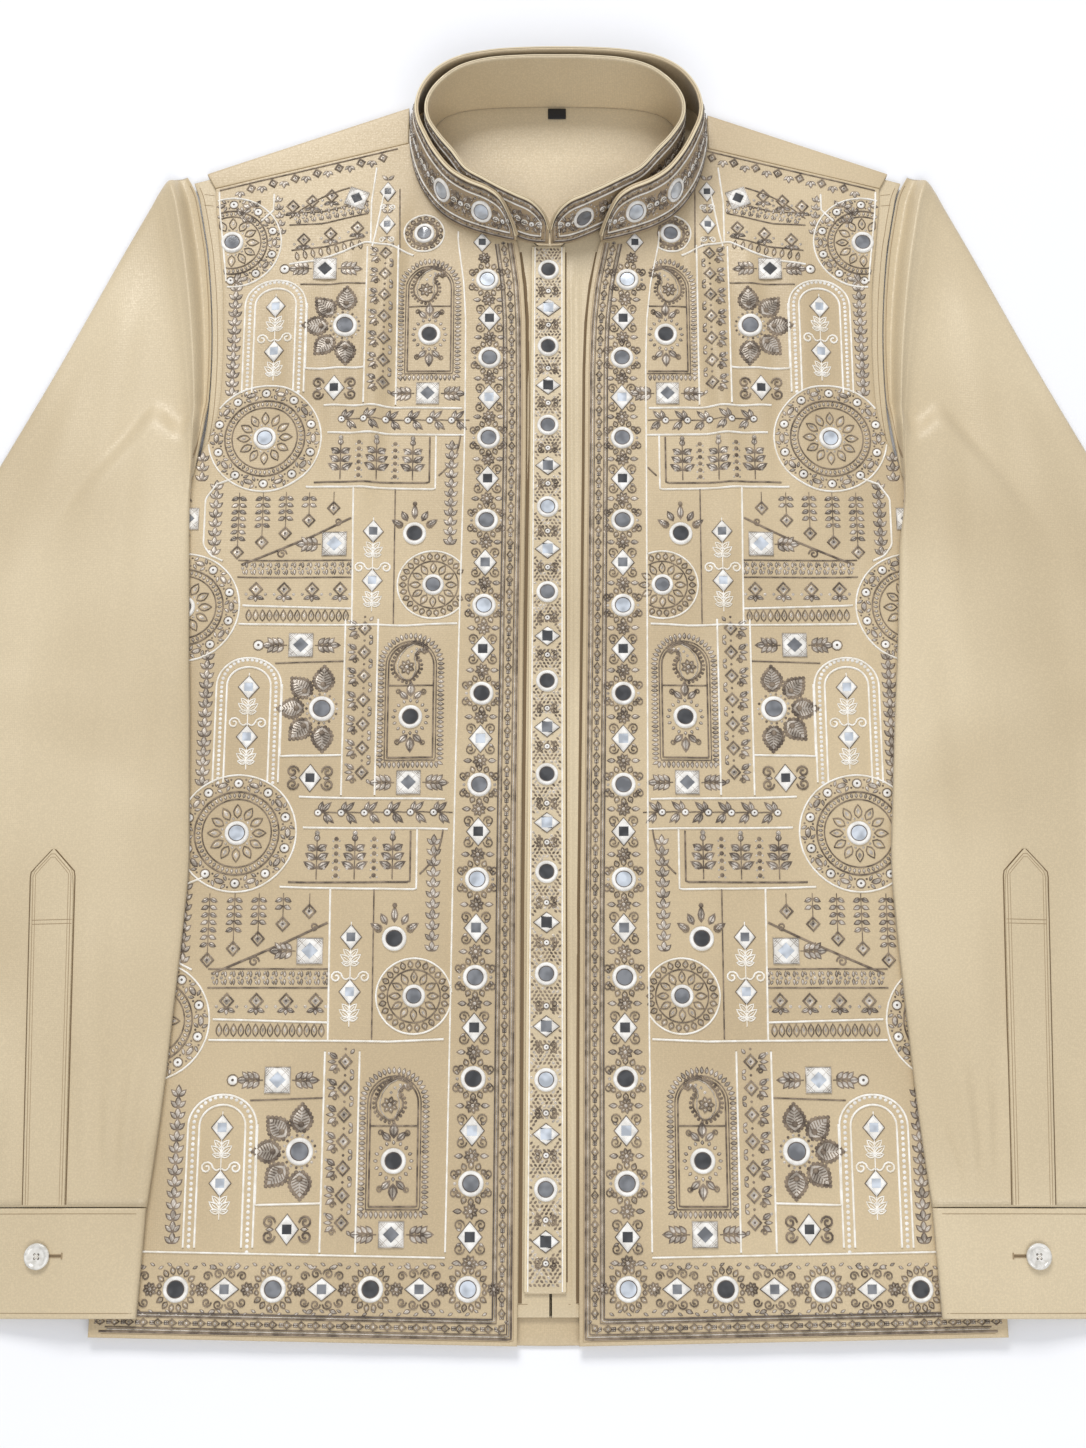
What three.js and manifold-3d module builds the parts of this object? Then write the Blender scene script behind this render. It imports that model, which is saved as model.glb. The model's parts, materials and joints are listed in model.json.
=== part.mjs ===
// A kurta set laid flat: a long-sleeved kurta with a band collar under an open sleeveless mirror-work jacket.
// Millimetres. +X is the viewer's right, +Y runs towards the collar, +Z is up from the surface it lies on.
import * as THREE from 'three';
import { mergeVertices } from 'three/addons/utils/BufferGeometryUtils.js';
import Module from 'manifold-3d';

const wasm = await Module();
wasm.setup();

// Cloth thicknesses and the gap that is kept wherever two pieces touch
const gap = 0.3;
const seam = 0.45;
const jacketCloth = 2.0;
const backCloth = 1.6;
const kurtaCloth = 1.2;
const placketCloth = 1.6;

// Heights of the layers, from the surface up
const kurtaBackZ = backCloth + gap;
const kurtaFrontZ = kurtaBackZ + kurtaCloth + gap;
const jacketFrontZ = kurtaFrontZ + kurtaCloth + gap;
const jacketTopZ = jacketFrontZ + jacketCloth;
const sleeveOnBodyZ = jacketTopZ + gap;

// Body outline
const hemY = -418;
const sideHemY = -413;
const kurtaHemY = -402;
const chestHalf = 262;
const hemHalf = 268;
const underarmY = 98;
const shoulderTip = { x: 231.7, y: 345 };
const shoulderSlope = 0.372;
const yokeSeamSlope = 0.264;
const yokeLap = 14;

// The collars stand on centre lines a little to the right of the hem's middle
const jacketNeckX = 7.5;
const kurtaEndsX = 1.5;
const kurtaNeckX = 5;
const neckCornerX = 91;
const neckCornerY = 367.8;

// Mirrors: rounds and diamonds down the front edges and along the hem
const mirrorRadius = 8;
const mirrorHeight = 1.4;
const mirrorTaper = 1;
const mirrorSides = 8;
const diamondHalf = { x: 8, y: 11 };
const columnTopY = 264.5;
const columnPitch = 59.25;
const columnCount = 12;
const columnInset = { top: 23.5, bottom: 28.7 };
const hemRow = { y: -386, firstX: 47, pitch: 58.5, count: 4 };
const placketMirrors = { topY: 272, pitch: 60.1, count: 11, radius: 7.5 };

// Mirrors of the field on each front, which repeats down the cloth and leans outward with the side seam
const fieldRepeat = { pitch: 266, lean: 5 };
const fieldMirrors = [
  { kind: 'round', x: 79, y: 227, repeats: 3 },
  { kind: 'square', x: 146, y: 272, repeats: 3 },
  { kind: 'round', x: 132, y: 233, repeats: 3 },
  { kind: 'square', x: 77, y: 180, repeats: 3 },
  { kind: 'round', x: 184, y: 149, repeats: 2 },
  { kind: 'round', x: 86, y: 86, repeats: 2 },
  { kind: 'square', x: 134, y: 76, repeats: 2 },
  { kind: 'round', x: 212, y: 292, repeats: 1 },
];
const squareHalf = 7;

// Sleeves, cuffs and what is on them
const sleeveWall = 1.25;
const sleeveDepth = 6;
const cuffWall = 2.1;
const cuffDepth = 6.4;
const cuffTopY = -339.9;
const cuffBottomY = -402.6;
const rampStart = 16;
const rampLength = 50;
const button = { radius: 7.65, thickness: 2.6, y: -367.5, leftX: -299, rightX: 286.5, holeRadius: 0.9, holeOffset: 1.6 };

const colours = {
  jacket: 0xd2bf98,
  kurta: 0xcdb88e,
  collar: 0xbfa985,
  placket: 0xc6b494,
  label: 0x17171a,
  pearl: 0xdcd8d0,
};

// Shape helpers
function smooth(from, to, value) {
  const t = Math.min(1, Math.max(0, (value - from) / (to - from)));
  return t * t * (3 - 2 * t);
}

function lerp(a, b, t) {
  return a + (b - a) * t;
}

function geometryFrom(points, triangles) {
  const geometry = new THREE.BufferGeometry();
  geometry.setAttribute('position', new THREE.Float32BufferAttribute(points.flat(), 3));
  geometry.setIndex(triangles.flat());
  return facingOut(geometry);
}

function signedVolume(geometry) {
  const at = geometry.attributes.position;
  const index = geometry.index;
  const corner = [new THREE.Vector3(), new THREE.Vector3(), new THREE.Vector3()];
  let volume = 0;
  for (let i = 0; i < index.count; i += 3) {
    corner.forEach((vector, k) => vector.fromBufferAttribute(at, index.getX(i + k)));
    volume += corner[0].dot(corner[1].clone().cross(corner[2])) / 6;
  }
  return volume;
}

function facingOut(geometry) {
  if (signedVolume(geometry) < 0) {
    const index = geometry.index;
    for (let i = 0; i < index.count; i += 3) {
      const second = index.getX(i + 1);
      index.setX(i + 1, index.getX(i + 2));
      index.setX(i + 2, second);
    }
  }
  return geometry;
}

// A wall of cloth between two skins of rows by cols points. A loop closes each row on itself, as on a sleeve.
function wall(rows, cols, skinA, skinB, loop = false) {
  const points = [];
  const triangles = [];
  for (const skin of [skinA, skinB]) {
    for (let i = 0; i < rows; i += 1) {
      for (let j = 0; j < cols; j += 1) {
        points.push(skin(i, j));
      }
    }
  }
  const id = (skin, i, j) => skin * rows * cols + i * cols + (j % cols);
  const quad = (a, b, c, d) => triangles.push([a, b, c], [a, c, d]);
  const spans = loop ? cols : cols - 1;
  for (let i = 0; i < rows - 1; i += 1) {
    for (let j = 0; j < spans; j += 1) {
      quad(id(0, i, j), id(0, i, j + 1), id(0, i + 1, j + 1), id(0, i + 1, j));
      quad(id(1, i, j), id(1, i + 1, j), id(1, i + 1, j + 1), id(1, i, j + 1));
    }
  }
  for (let j = 0; j < spans; j += 1) {
    quad(id(0, 0, j), id(1, 0, j), id(1, 0, j + 1), id(0, 0, j + 1));
    quad(id(0, rows - 1, j), id(0, rows - 1, j + 1), id(1, rows - 1, j + 1), id(1, rows - 1, j));
  }
  if (!loop) {
    for (let i = 0; i < rows - 1; i += 1) {
      quad(id(0, i, 0), id(0, i + 1, 0), id(1, i + 1, 0), id(1, i, 0));
      quad(id(0, i, cols - 1), id(1, i, cols - 1), id(1, i + 1, cols - 1), id(0, i + 1, cols - 1));
    }
  }
  return geometryFrom(points, triangles);
}

function flatPanel(outline, z, thickness) {
  const shape = new THREE.Shape(outline.map(([x, y]) => new THREE.Vector2(x, y)));
  const geometry = new THREE.ExtrudeGeometry(shape, { depth: thickness, bevelEnabled: false });
  geometry.translate(0, 0, z);
  return merged(geometry);
}

function merged(geometry) {
  geometry.deleteAttribute('normal');
  geometry.deleteAttribute('uv');
  return mergeVertices(geometry, 1e-4);
}

// Joins and cuts
function toSolid(geometry) {
  const clean = geometry.index ? geometry : merged(geometry);
  return new wasm.Manifold(new wasm.Mesh({
    numProp: 3,
    vertProperties: new Float32Array(clean.attributes.position.array),
    triVerts: new Uint32Array(clean.index.array),
  }));
}

function fromSolid(solid) {
  const mesh = solid.getMesh();
  const geometry = new THREE.BufferGeometry();
  geometry.setAttribute('position', new THREE.BufferAttribute(mesh.vertProperties, 3));
  geometry.setIndex(new THREE.BufferAttribute(mesh.triVerts, 1));
  return geometry;
}

function joined(base, additions) {
  let solid = toSolid(base);
  for (const addition of additions) {
    solid = solid.add(toSolid(addition));
  }
  return fromSolid(solid);
}

const group = new THREE.Group();

function addPiece(name, geometry, colour, roughness = 0.75) {
  const material = new THREE.MeshStandardMaterial({ color: colour, roughness, metalness: 0 });
  const mesh = new THREE.Mesh(geometry, material);
  mesh.name = name;
  group.add(mesh);
  return mesh;
}

// Shoulder lines, by distance from the middle of the body
const foldY = (x) => shoulderTip.y + (shoulderTip.x - Math.abs(x)) * shoulderSlope;
const yokeSeamY = (x) => neckCornerY - (Math.abs(x) - neckCornerX) * yokeSeamSlope;
const kurtaShoulderY = (x) => 337.6 + (240 - Math.abs(x)) * 0.286;

// Side of the body from the hem to the shoulder: side seam, underarm and jacket armhole
const jacketSide = [
  { x: 268, y: sideHemY }, { x: 267, y: -336 }, { x: 266, y: -245 }, { x: 265, y: -152 }, { x: 264, y: -62 },
  { x: 263, y: 20 }, { x: chestHalf, y: underarmY }, { x: 238, y: 114 }, { x: 226, y: 140 }, { x: 219.4, y: 155 },
  { x: 215.6, y: 179 }, { x: 215, y: 213 }, { x: 216, y: 235 }, { x: 216.8, y: 255 }, { x: 218.5, y: 272 },
  { x: 220.5, y: 288 }, { x: 222, y: 301 }, { x: 223.4, y: 312 }, { x: 224.4, y: 322 }, { x: 225, y: 332.4 },
];

// Front edges of the jacket, and its neckline as distances from the collar's centre line
const frontEdge = [
  { y: -418, left: -18, right: 18 }, { y: -340, left: -17.6, right: 18.5 }, { y: -250, left: -17.2, right: 19 },
  { y: -160, left: -17, right: 19.8 }, { y: -70, left: -16.4, right: 21.2 }, { y: 20, left: -15.6, right: 22.6 },
  { y: 90, left: -14.8, right: 23.6 }, { y: 130, left: -14.3, right: 24.2 }, { y: 165, left: -14.2, right: 24.6 },
  { y: 200, left: -14.4, right: 25 }, { y: 235, left: -14.8, right: 26.4 }, { y: 262, left: -16.4, right: 29.4 },
];
const jacketNeckline = [
  { out: 28.2, y: 293 }, { out: 38, y: 296 }, { out: 51, y: 300 }, { out: 66, y: 305.5 }, { out: 78.5, y: 314.5 },
  { out: 89.5, y: 330 }, { out: 95.5, y: 343 }, { out: 98.5, y: neckCornerY - 1 },
];

function jacketInner(side) {
  const edge = frontEdge.map((row) => ({ x: side < 0 ? row.left : row.right, y: row.y }));
  const neck = jacketNeckline.map((row) => ({ x: jacketNeckX + side * row.out, y: row.y }));
  neck[neck.length - 1].y = yokeSeamY(neck[neck.length - 1].x);
  return edge.concat(neck);
}

// Soft drape folds that run down each front from the shoulder
const frontFolds = [
  { topX: 108, topY: 352, endX: 134, endY: 20, height: 2.6, width: 15 },
  { topX: 160, topY: 330, endX: 172, endY: 90, height: 1.6, width: 16 },
  { topX: 70, topY: 120, endX: 84, endY: -250, height: 1.4, width: 17 },
];

function foldHeight(folds, x, y) {
  let height = 0;
  for (const fold of folds) {
    const along = (fold.topY - y) / (fold.topY - fold.endY);
    const centre = lerp(fold.topX, fold.endX, along);
    const fade = smooth(0.12, 0.32, along) * (1 - smooth(0.6, 1, along));
    height += fold.height * fade * Math.exp(-(((Math.abs(x) - centre) / fold.width) ** 2));
  }
  return height;
}

// Raised mirrors
function boss(x, y, z, radius, sides, turn) {
  const height = mirrorHeight + 1;
  const geometry = new THREE.CylinderGeometry(radius - mirrorTaper, radius, height, sides);
  geometry.rotateX(Math.PI / 2);
  geometry.rotateZ(turn);
  geometry.translate(x, y, z + mirrorHeight - height / 2);
  return merged(geometry);
}

function diamondBoss(x, y, z, alongY = true) {
  const geometry = boss(0, 0, z, diamondHalf.x, 4, 0);
  geometry.scale(alongY ? 1 : diamondHalf.y / diamondHalf.x, alongY ? diamondHalf.y / diamondHalf.x : 1, 1);
  geometry.translate(x, y, 0);
  return geometry;
}

function edgeX(side, y) {
  const rail = jacketInner(side);
  const above = rail.findIndex((point) => point.y >= y);
  const low = rail[above - 1];
  const high = rail[above];
  return lerp(low.x, high.x, (y - low.y) / (high.y - low.y));
}

function frontBosses(side) {
  const bosses = [];
  const surface = (x, y) => jacketTopZ + foldHeight(frontFolds, x, y);
  const round = (x, y) => bosses.push(boss(x, y, surface(x, y), mirrorRadius, mirrorSides, Math.PI / mirrorSides));
  const square = (x, y) => bosses.push(boss(x, y, surface(x, y), squareHalf * Math.SQRT2, 4, Math.PI / 4));
  const diamond = (x, y, alongY) => bosses.push(diamondBoss(x, y, surface(x, y), alongY));
  const columnX = (y) => {
    const down = (columnTopY - y) / (columnPitch * (columnCount - 1));
    return edgeX(side, y) + side * lerp(columnInset.top, columnInset.bottom, down);
  };
  for (let i = 0; i < columnCount - 1; i += 1) {
    const y = columnTopY - i * columnPitch;
    const between = y - columnPitch / 2;
    round(columnX(y), y);
    diamond(columnX(between), between, true);
  }
  for (let i = 0; i < hemRow.count; i += 1) {
    const x = side * (hemRow.firstX + i * hemRow.pitch);
    round(x, hemRow.y);
    if (i < hemRow.count - 1) {
      diamond(x + side * hemRow.pitch / 2, hemRow.y, false);
    }
  }
  for (const mirror of fieldMirrors) {
    for (let i = 0; i < mirror.repeats; i += 1) {
      const x = side * (mirror.x + i * fieldRepeat.lean);
      const y = mirror.y - i * fieldRepeat.pitch;
      if (mirror.kind === 'round') {
        round(x, y);
      } else {
        square(x, y);
      }
    }
  }
  return bosses;
}

function jacketFront(side) {
  const inner = jacketInner(side);
  const cols = 13;
  const rowPoint = (i, j) => {
    const t = j / (cols - 1);
    const outer = jacketSide[i];
    return [lerp(inner[i].x, side * outer.x, t), lerp(inner[i].y, outer.y, t)];
  };
  const skin = (thickness) => (i, j) => {
    const [x, y] = rowPoint(i, j);
    return [x, y, jacketFrontZ + foldHeight(frontFolds, x, y) + thickness];
  };
  return joined(wall(inner.length, cols, skin(0), skin(jacketCloth)), frontBosses(side));
}

// Back panels, flat where they rest
function jacketBack() {
  const side = jacketSide.slice(0, -1).map((point) => [point.x, point.y]);
  side.push([225, 332]);
  const lapEndX = 94.3;
  const neck = [[lapEndX, foldY(94.8) - yokeLap - 0.7], [91, 400], [78, 407], [52, 409.5]];
  const right = side.concat(neck.map(([x, y], i) => [x + 2 * jacketNeckX, i === 0 ? y - 5.6 : y]));
  const left = side.concat(neck).map(([x, y]) => [-x, y]).reverse();
  return flatPanel(right.concat(left), 0, backCloth);
}

const kurtaSide = [
  { x: 258, y: kurtaHemY }, { x: 257, y: -330 }, { x: 256, y: -220 }, { x: 255, y: -110 }, { x: 254, y: 0 },
  { x: 253, y: 84 }, { x: 240, y: 102 }, { x: 231, y: 122 }, { x: 226.8, y: 141 }, { x: 223.6, y: 165 },
  { x: 222.4, y: 190 }, { x: 222.7, y: 221 }, { x: 224.7, y: 253 }, { x: 228, y: 284 }, { x: 231, y: 301 },
  { x: 233.8, y: 315.5 }, { x: 236.4, y: 328 }, { x: 240, y: 337.6 },
];

function kurtaBack() {
  const side = kurtaSide.map((point) => [point.x, point.y]);
  const neck = [[83, 383], [78, 391], [66, 397.5], [45, 400], [20, 401]];
  const right = side.concat(neck.map(([x, y], i) => [x + 2 * kurtaNeckX, i === 0 ? kurtaShoulderY(x + 10) : y]));
  const left = side.concat(neck).map(([x, y]) => [-x, y]).reverse();
  return flatPanel(right.concat(left), kurtaBackZ, kurtaCloth);
}

// Kurta fronts meet under the placket; the upper rows follow the neck seam inside the collar
const kurtaNeckline = [
  { out: 12, y: 295 }, { out: 24, y: 299 }, { out: 36, y: 305 }, { out: 50, y: 312.5 }, { out: 62, y: 321.5 },
  { out: 72.5, y: 333.5 }, { out: 79.8, y: 346.5 }, { out: 84.3, y: 361 }, { out: 84.6, y: 373 },
  { out: 88, y: 383 },
];

function kurtaCentre(y) {
  return lerp(kurtaEndsX, kurtaNeckX, smooth(300, 352, y));
}

function kurtaFront(side) {
  const edgeRows = kurtaSide.length - kurtaNeckline.length;
  const lowRows = Array.from({ length: edgeRows }, (_, i) => ({
    x: kurtaEndsX + side * gap / 2,
    y: lerp(kurtaHemY, 270, i / (edgeRows - 1)),
  }));
  const neckRows = kurtaNeckline.map((row) => ({ x: kurtaCentre(row.y) + side * row.out, y: row.y }));
  const top = neckRows[neckRows.length - 1];
  top.y = kurtaShoulderY(top.x);
  const inner = lowRows.concat(neckRows);
  const cols = 6;
  const skin = (thickness) => (i, j) => {
    const t = j / (cols - 1);
    return [
      lerp(inner[i].x, side * kurtaSide[i].x, t),
      lerp(inner[i].y, kurtaSide[i].y, t),
      kurtaFrontZ + thickness,
    ];
  };
  return wall(inner.length, cols, skin(0), skin(kurtaCloth));
}

// Shoulder strip: it lies on the front, turns over the shoulder and laps under to meet the back
function yoke(side) {
  const neckX = side < 0 ? 94.8 : 94.8 + 2 * jacketNeckX;
  const tipX = 225.2;
  const along = 7;
  const turn = jacketTopZ / 2;
  const innerTurn = (jacketFrontZ - backCloth) / 2;
  const section = (outer) => {
    const radius = outer ? turn : innerTurn;
    const centreZ = outer ? turn : backCloth + innerTurn;
    const points = [{ back: null, z: outer ? jacketTopZ : jacketFrontZ }];
    for (let k = 0; k <= 6; k += 1) {
      const angle = Math.PI / 2 - k * Math.PI / 6;
      points.push({ back: turn - radius * Math.cos(angle), z: centreZ + radius * Math.sin(angle) });
    }
    points.push({ back: yokeLap, z: outer ? 0 : backCloth });
    return points;
  };
  const skin = (outer) => {
    const points = section(outer);
    return (i, j) => {
      const t = i / (along - 1);
      const seamPoint = new THREE.Vector2(lerp(neckX, tipX, t), 0);
      seamPoint.y = yokeSeamY(seamPoint.x) + seam;
      const foldPoint = new THREE.Vector2(lerp(neckX, shoulderTip.x, t), 0);
      foldPoint.y = foldY(foldPoint.x);
      const toSeam = seamPoint.clone().sub(foldPoint);
      const distance = toSeam.length();
      toSeam.normalize();
      const back = points[j].back === null ? distance : points[j].back;
      const place = foldPoint.clone().addScaledVector(toSeam, back);
      return [side * place.x, place.y, points[j].z];
    };
  };
  return wall(along, section(true).length, skin(true), skin(false));
}

// Standing collars: seam and rim are given for one half, as distances out from the centre line, from the
// front end to the middle of the back. baseZ is the height of the layer that the collar stands on.
const jacketCollarHalf = [
  { out: 28.4, y: 293, rimOut: 28.6, rimY: 294.6, rimZ: 12, baseZ: sleeveOnBodyZ },
  { out: 31, y: 292.8, rimOut: 32.4, rimY: 301.2, rimZ: 23, baseZ: sleeveOnBodyZ },
  { out: 37.4, y: 293.9, rimOut: 38.9, rimY: 310.7, rimZ: 35, baseZ: sleeveOnBodyZ },
  { out: 51.6, y: 297.7, rimOut: 47.5, rimY: 318.5, rimZ: 38, baseZ: sleeveOnBodyZ },
  { out: 66, y: 303.4, rimOut: 61, rimY: 325, rimZ: 39, baseZ: sleeveOnBodyZ },
  { out: 79.4, y: 312.6, rimOut: 72.5, rimY: 332.5, rimZ: 40, baseZ: sleeveOnBodyZ },
  { out: 90.5, y: 327.5, rimOut: 82.5, rimY: 344.5, rimZ: 41, baseZ: sleeveOnBodyZ },
  { out: 97, y: 343, rimOut: 90, rimY: 355, rimZ: 42, baseZ: sleeveOnBodyZ },
  { out: 100.5, y: 360, rimOut: 94.4, rimY: 366, rimZ: 43, baseZ: sleeveOnBodyZ },
  { out: 100.7, y: 372, rimOut: 95, rimY: 377, rimZ: 43, baseZ: sleeveOnBodyZ },
  { out: 99, y: 385, rimOut: 91, rimY: 389.7, rimZ: 43, baseZ: 5.2 },
  { out: 93, y: 396.5, rimOut: 81.5, rimY: 402, rimZ: 43, baseZ: kurtaBackZ },
  { out: 76, y: 404, rimOut: 66.5, rimY: 410.8, rimZ: 43, baseZ: kurtaBackZ },
  { out: 50, y: 406.5, rimOut: 46, rimY: 415.4, rimZ: 43, baseZ: kurtaBackZ },
  { out: 25, y: 407.3, rimOut: 26, rimY: 417.2, rimZ: 43, baseZ: kurtaBackZ },
  { out: 0, y: 407.5, rimOut: 0, rimY: 417.8, rimZ: 43, baseZ: kurtaBackZ },
];

const onKurtaFront = kurtaFrontZ + kurtaCloth + gap;
const onKurtaBack = kurtaBackZ + kurtaCloth + gap;
const kurtaCollarHalf = [
  { out: 0.7, y: 292, rimOut: 0.7, rimY: 296.2, rimZ: 17, baseZ: onKurtaFront },
  { out: 6, y: 292.2, rimOut: 4.5, rimY: 299.8, rimZ: 27, baseZ: onKurtaFront },
  { out: 14, y: 293, rimOut: 12.5, rimY: 303.8, rimZ: 35, baseZ: onKurtaFront },
  { out: 24, y: 297, rimOut: 23, rimY: 310, rimZ: 38, baseZ: onKurtaFront },
  { out: 36, y: 303, rimOut: 33.5, rimY: 317, rimZ: 39.5, baseZ: onKurtaFront },
  { out: 50, y: 310.5, rimOut: 45, rimY: 325, rimZ: 40.5, baseZ: onKurtaFront },
  { out: 63, y: 320, rimOut: 57.5, rimY: 332, rimZ: 41, baseZ: onKurtaFront },
  { out: 74, y: 332.5, rimOut: 68, rimY: 341, rimZ: 42, baseZ: onKurtaFront },
  { out: 81.5, y: 346, rimOut: 77.5, rimY: 352, rimZ: 43, baseZ: onKurtaFront },
  { out: 86, y: 361, rimOut: 85, rimY: 364.5, rimZ: 44, baseZ: onKurtaFront },
  { out: 85.5, y: 376, rimOut: 85.5, rimY: 377.5, rimZ: 44, baseZ: onKurtaFront },
  { out: 78, y: 388.5, rimOut: 78.5, rimY: 390.5, rimZ: 44, baseZ: onKurtaBack },
  { out: 64, y: 394.8, rimOut: 64.3, rimY: 402.5, rimZ: 44, baseZ: onKurtaBack },
  { out: 44, y: 397.5, rimOut: 45, rimY: 408.7, rimZ: 44, baseZ: onKurtaBack },
  { out: 20, y: 398.4, rimOut: 20, rimY: 410.8, rimZ: 44, baseZ: onKurtaBack },
  { out: 0, y: 398.6, rimOut: 0, rimY: 411, rimZ: 44, baseZ: onKurtaBack },
];

function wholeCollar(half, centreAt) {
  const place = (row, side) => ({
    seam: new THREE.Vector3(centreAt(row.y) + side * row.out, row.y, row.baseZ),
    rim: new THREE.Vector3(centreAt(row.y) + side * row.rimOut, row.rimY, row.rimZ),
  });
  const left = half.map((row) => place(row, -1));
  const right = half.slice(0, -1).map((row) => place(row, 1)).reverse();
  return left.concat(right);
}

function collar(half, centreAt, thickness, bulge) {
  const stations = wholeCollar(half, centreAt);
  const levels = 5;
  const at = (j, level) => {
    const { seam: low, rim } = stations[j];
    const point = low.clone().lerp(rim, level);
    return point;
  };
  const inward = (j, level) => {
    const before = at(Math.max(0, j - 1), level);
    const after = at(Math.min(stations.length - 1, j + 1), level);
    const run = after.sub(before);
    return new THREE.Vector3(run.y, -run.x, 0).normalize();
  };
  const skin = (depth) => (i, j) => {
    const level = i / (levels - 1);
    const swell = bulge * Math.sin(Math.PI * level);
    const point = at(j, level).addScaledVector(inward(j, level), depth - swell);
    return [point.x, point.y, point.z];
  };
  return wall(levels, stations.length, skin(0), skin(thickness));
}

// Placket down the middle of the kurta, with its own row of mirrors
function placket() {
  const topY = 289.6;
  const bottomY = -388.6;
  const outline = [[-14.1, bottomY], [10.5, bottomY], [11.8, topY], [-10.4, topY]];
  const z = onKurtaFront;
  const bosses = [];
  for (let i = 0; i < placketMirrors.count; i += 1) {
    const y = placketMirrors.topY - i * placketMirrors.pitch;
    const middle = lerp(0.6, -1.6, i / placketMirrors.count);
    const top = z + placketCloth;
    bosses.push(boss(middle, y, top, placketMirrors.radius, mirrorSides, Math.PI / mirrorSides));
    bosses.push(diamondBoss(middle, y - placketMirrors.pitch / 2, top));
  }
  return joined(flatPanel(outline, z, placketCloth), bosses);
}

// The sleeve lies on the body's side and comes down to the surface beyond it
function groundZ(x, y) {
  const out = Math.abs(x);
  const sideX = lerp(hemHalf, chestHalf, (y - sideHemY) / (underarmY - sideHemY));
  const down = Math.min(1, Math.max(0, (out - sideX - rampStart) / rampLength));
  const armholeY = underarmY + (chestHalf - out) * 57 / 43;
  const clear = armholeY + 14 + 40 * smooth(235, chestHalf, out);
  const above = smooth(clear, clear + 22, y);
  return sleeveOnBodyZ * (1 - down) * (1 - above);
}

// Stations of the sleeve: a is its inner edge, b its outer edge. curve bends the station along the armhole,
// lift raises its underside to the kurta's layers and depth is its height there.
const sleeveStations = [
  { ax: 230, ay: 126, bx: 245, by: 343, curve: 1, lift: 1, depth: 2.7 },
  { ax: 230.6, ay: 123, bx: 249, by: 342, curve: 0.9, lift: 0.5, depth: 2.8 },
  { ax: 231.4, ay: 118, bx: 257, by: 338.5, curve: 0.62, lift: 0.1, depth: 11.5 },
  { ax: 231.4, ay: 111, bx: 263, by: 331, curve: 0.5, lift: 0, depth: 9.5 },
  { ax: 231.4, ay: 104, bx: 270, by: 317, curve: 0.35, lift: 0, depth: 7.5 },
  { ax: 231, ay: 90, bx: 288, by: 279.5, curve: 0.15, lift: 0, depth: 6.5 },
  { ax: 230, ay: 66, bx: 322, by: 206, curve: 0, lift: 0, depth: sleeveDepth },
  { ax: 228.5, ay: 34, bx: 357, by: 134, curve: 0, lift: 0, depth: sleeveDepth },
  { ax: 227, ay: 0, bx: 391, by: 66, curve: 0, lift: 0, depth: sleeveDepth },
  { ax: 225, ay: -36, bx: 414, by: 12, curve: 0, lift: 0, depth: sleeveDepth },
  { ax: 223.5, ay: -72, bx: 420, by: -38, curve: 0, lift: 0, depth: sleeveDepth },
  { ax: 222, ay: -105, bx: 412, by: -88, curve: 0, lift: 0, depth: sleeveDepth },
  { ax: 221, ay: -136, bx: 400, by: -136, curve: 0, lift: 0, depth: sleeveDepth },
  { ax: 223, ay: -175, bx: 390, by: -175, curve: 0, lift: 0, depth: sleeveDepth },
  { ax: 226, ay: -219, bx: 379, by: -219, curve: 0, lift: 0, depth: sleeveDepth },
  { ax: 229, ay: -262, bx: 369, by: -262, curve: 0, lift: 0, depth: sleeveDepth },
  { ax: 232.5, ay: -302, bx: 359.5, by: -302, curve: 0, lift: 0, depth: sleeveDepth },
  { ax: 236.5, ay: -339.3, bx: 351.5, by: -339.3, curve: 0, lift: 0, depth: sleeveDepth },
];

const armholeCurve = new THREE.CatmullRomCurve3(
  [[230, 126], [227.6, 141], [224.4, 165], [223.2, 190], [223.5, 221], [225.5, 253], [229, 284], [232, 301],
    [234.8, 315.5], [238.2, 329.5], [245, 343]].map(([x, y]) => new THREE.Vector3(x, y, 0)),
);

const sleeveFolds = [
  { topX: 268, topY: 320, endX: 306, endY: 10, height: 2.4, width: 12 },
  { topX: 300, topY: 240, endX: 356, endY: -40, height: 1.8, width: 14 },
];

// Places across a station, over the top from the inner edge to the outer one and back underneath
const topPlaces = [0, 0.012, 0.045, 0.12, 0.22, 0.32, 0.4, 0.47, 0.54, 0.61, 0.68, 0.77, 0.87, 0.955, 0.988];
const underPlaces = [1, 0.97, 0.85, 0.7, 0.55, 0.42, 0.3, 0.2, 0.1, 0.03];
const edgeShare = 0.05;

function roundedEdge(place) {
  const near = Math.min(1, Math.min(place, 1 - place) / edgeShare);
  return Math.sqrt(1 - (1 - near) ** 2);
}

// The right sleeve lies a little further over the body than the left one
function tuck(side, y) {
  return side < 0 ? 0 : 4 * (1 - smooth(70, 116, y)) + 6 * (1 - smooth(-190, 100, y));
}

function stationPoint(station, side, place) {
  const shift = station.curve === 1 ? 0 : tuck(side, station.ay);
  const x = lerp(station.ax - shift, station.bx, place);
  const y = lerp(station.ay, station.by, place);
  const first = sleeveStations[0];
  const onSeam = armholeCurve.getPointAt(place);
  const bendX = (onSeam.x - lerp(first.ax, first.bx, place)) * station.curve;
  const bendY = (onSeam.y - lerp(first.ay, first.by, place)) * station.curve;
  return [side * (x + bendX), y + bendY];
}

function tubePoint(x, y, low, depth, wallThickness, place, over, inside) {
  const middle = low + depth / 2;
  const half = (inside ? depth / 2 - wallThickness : depth / 2) * roundedEdge(place);
  const fold = over ? foldHeight(sleeveFolds, x, y) * roundedEdge(place) : 0;
  return [x, y, over ? middle + half + fold : middle - half];
}

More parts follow.
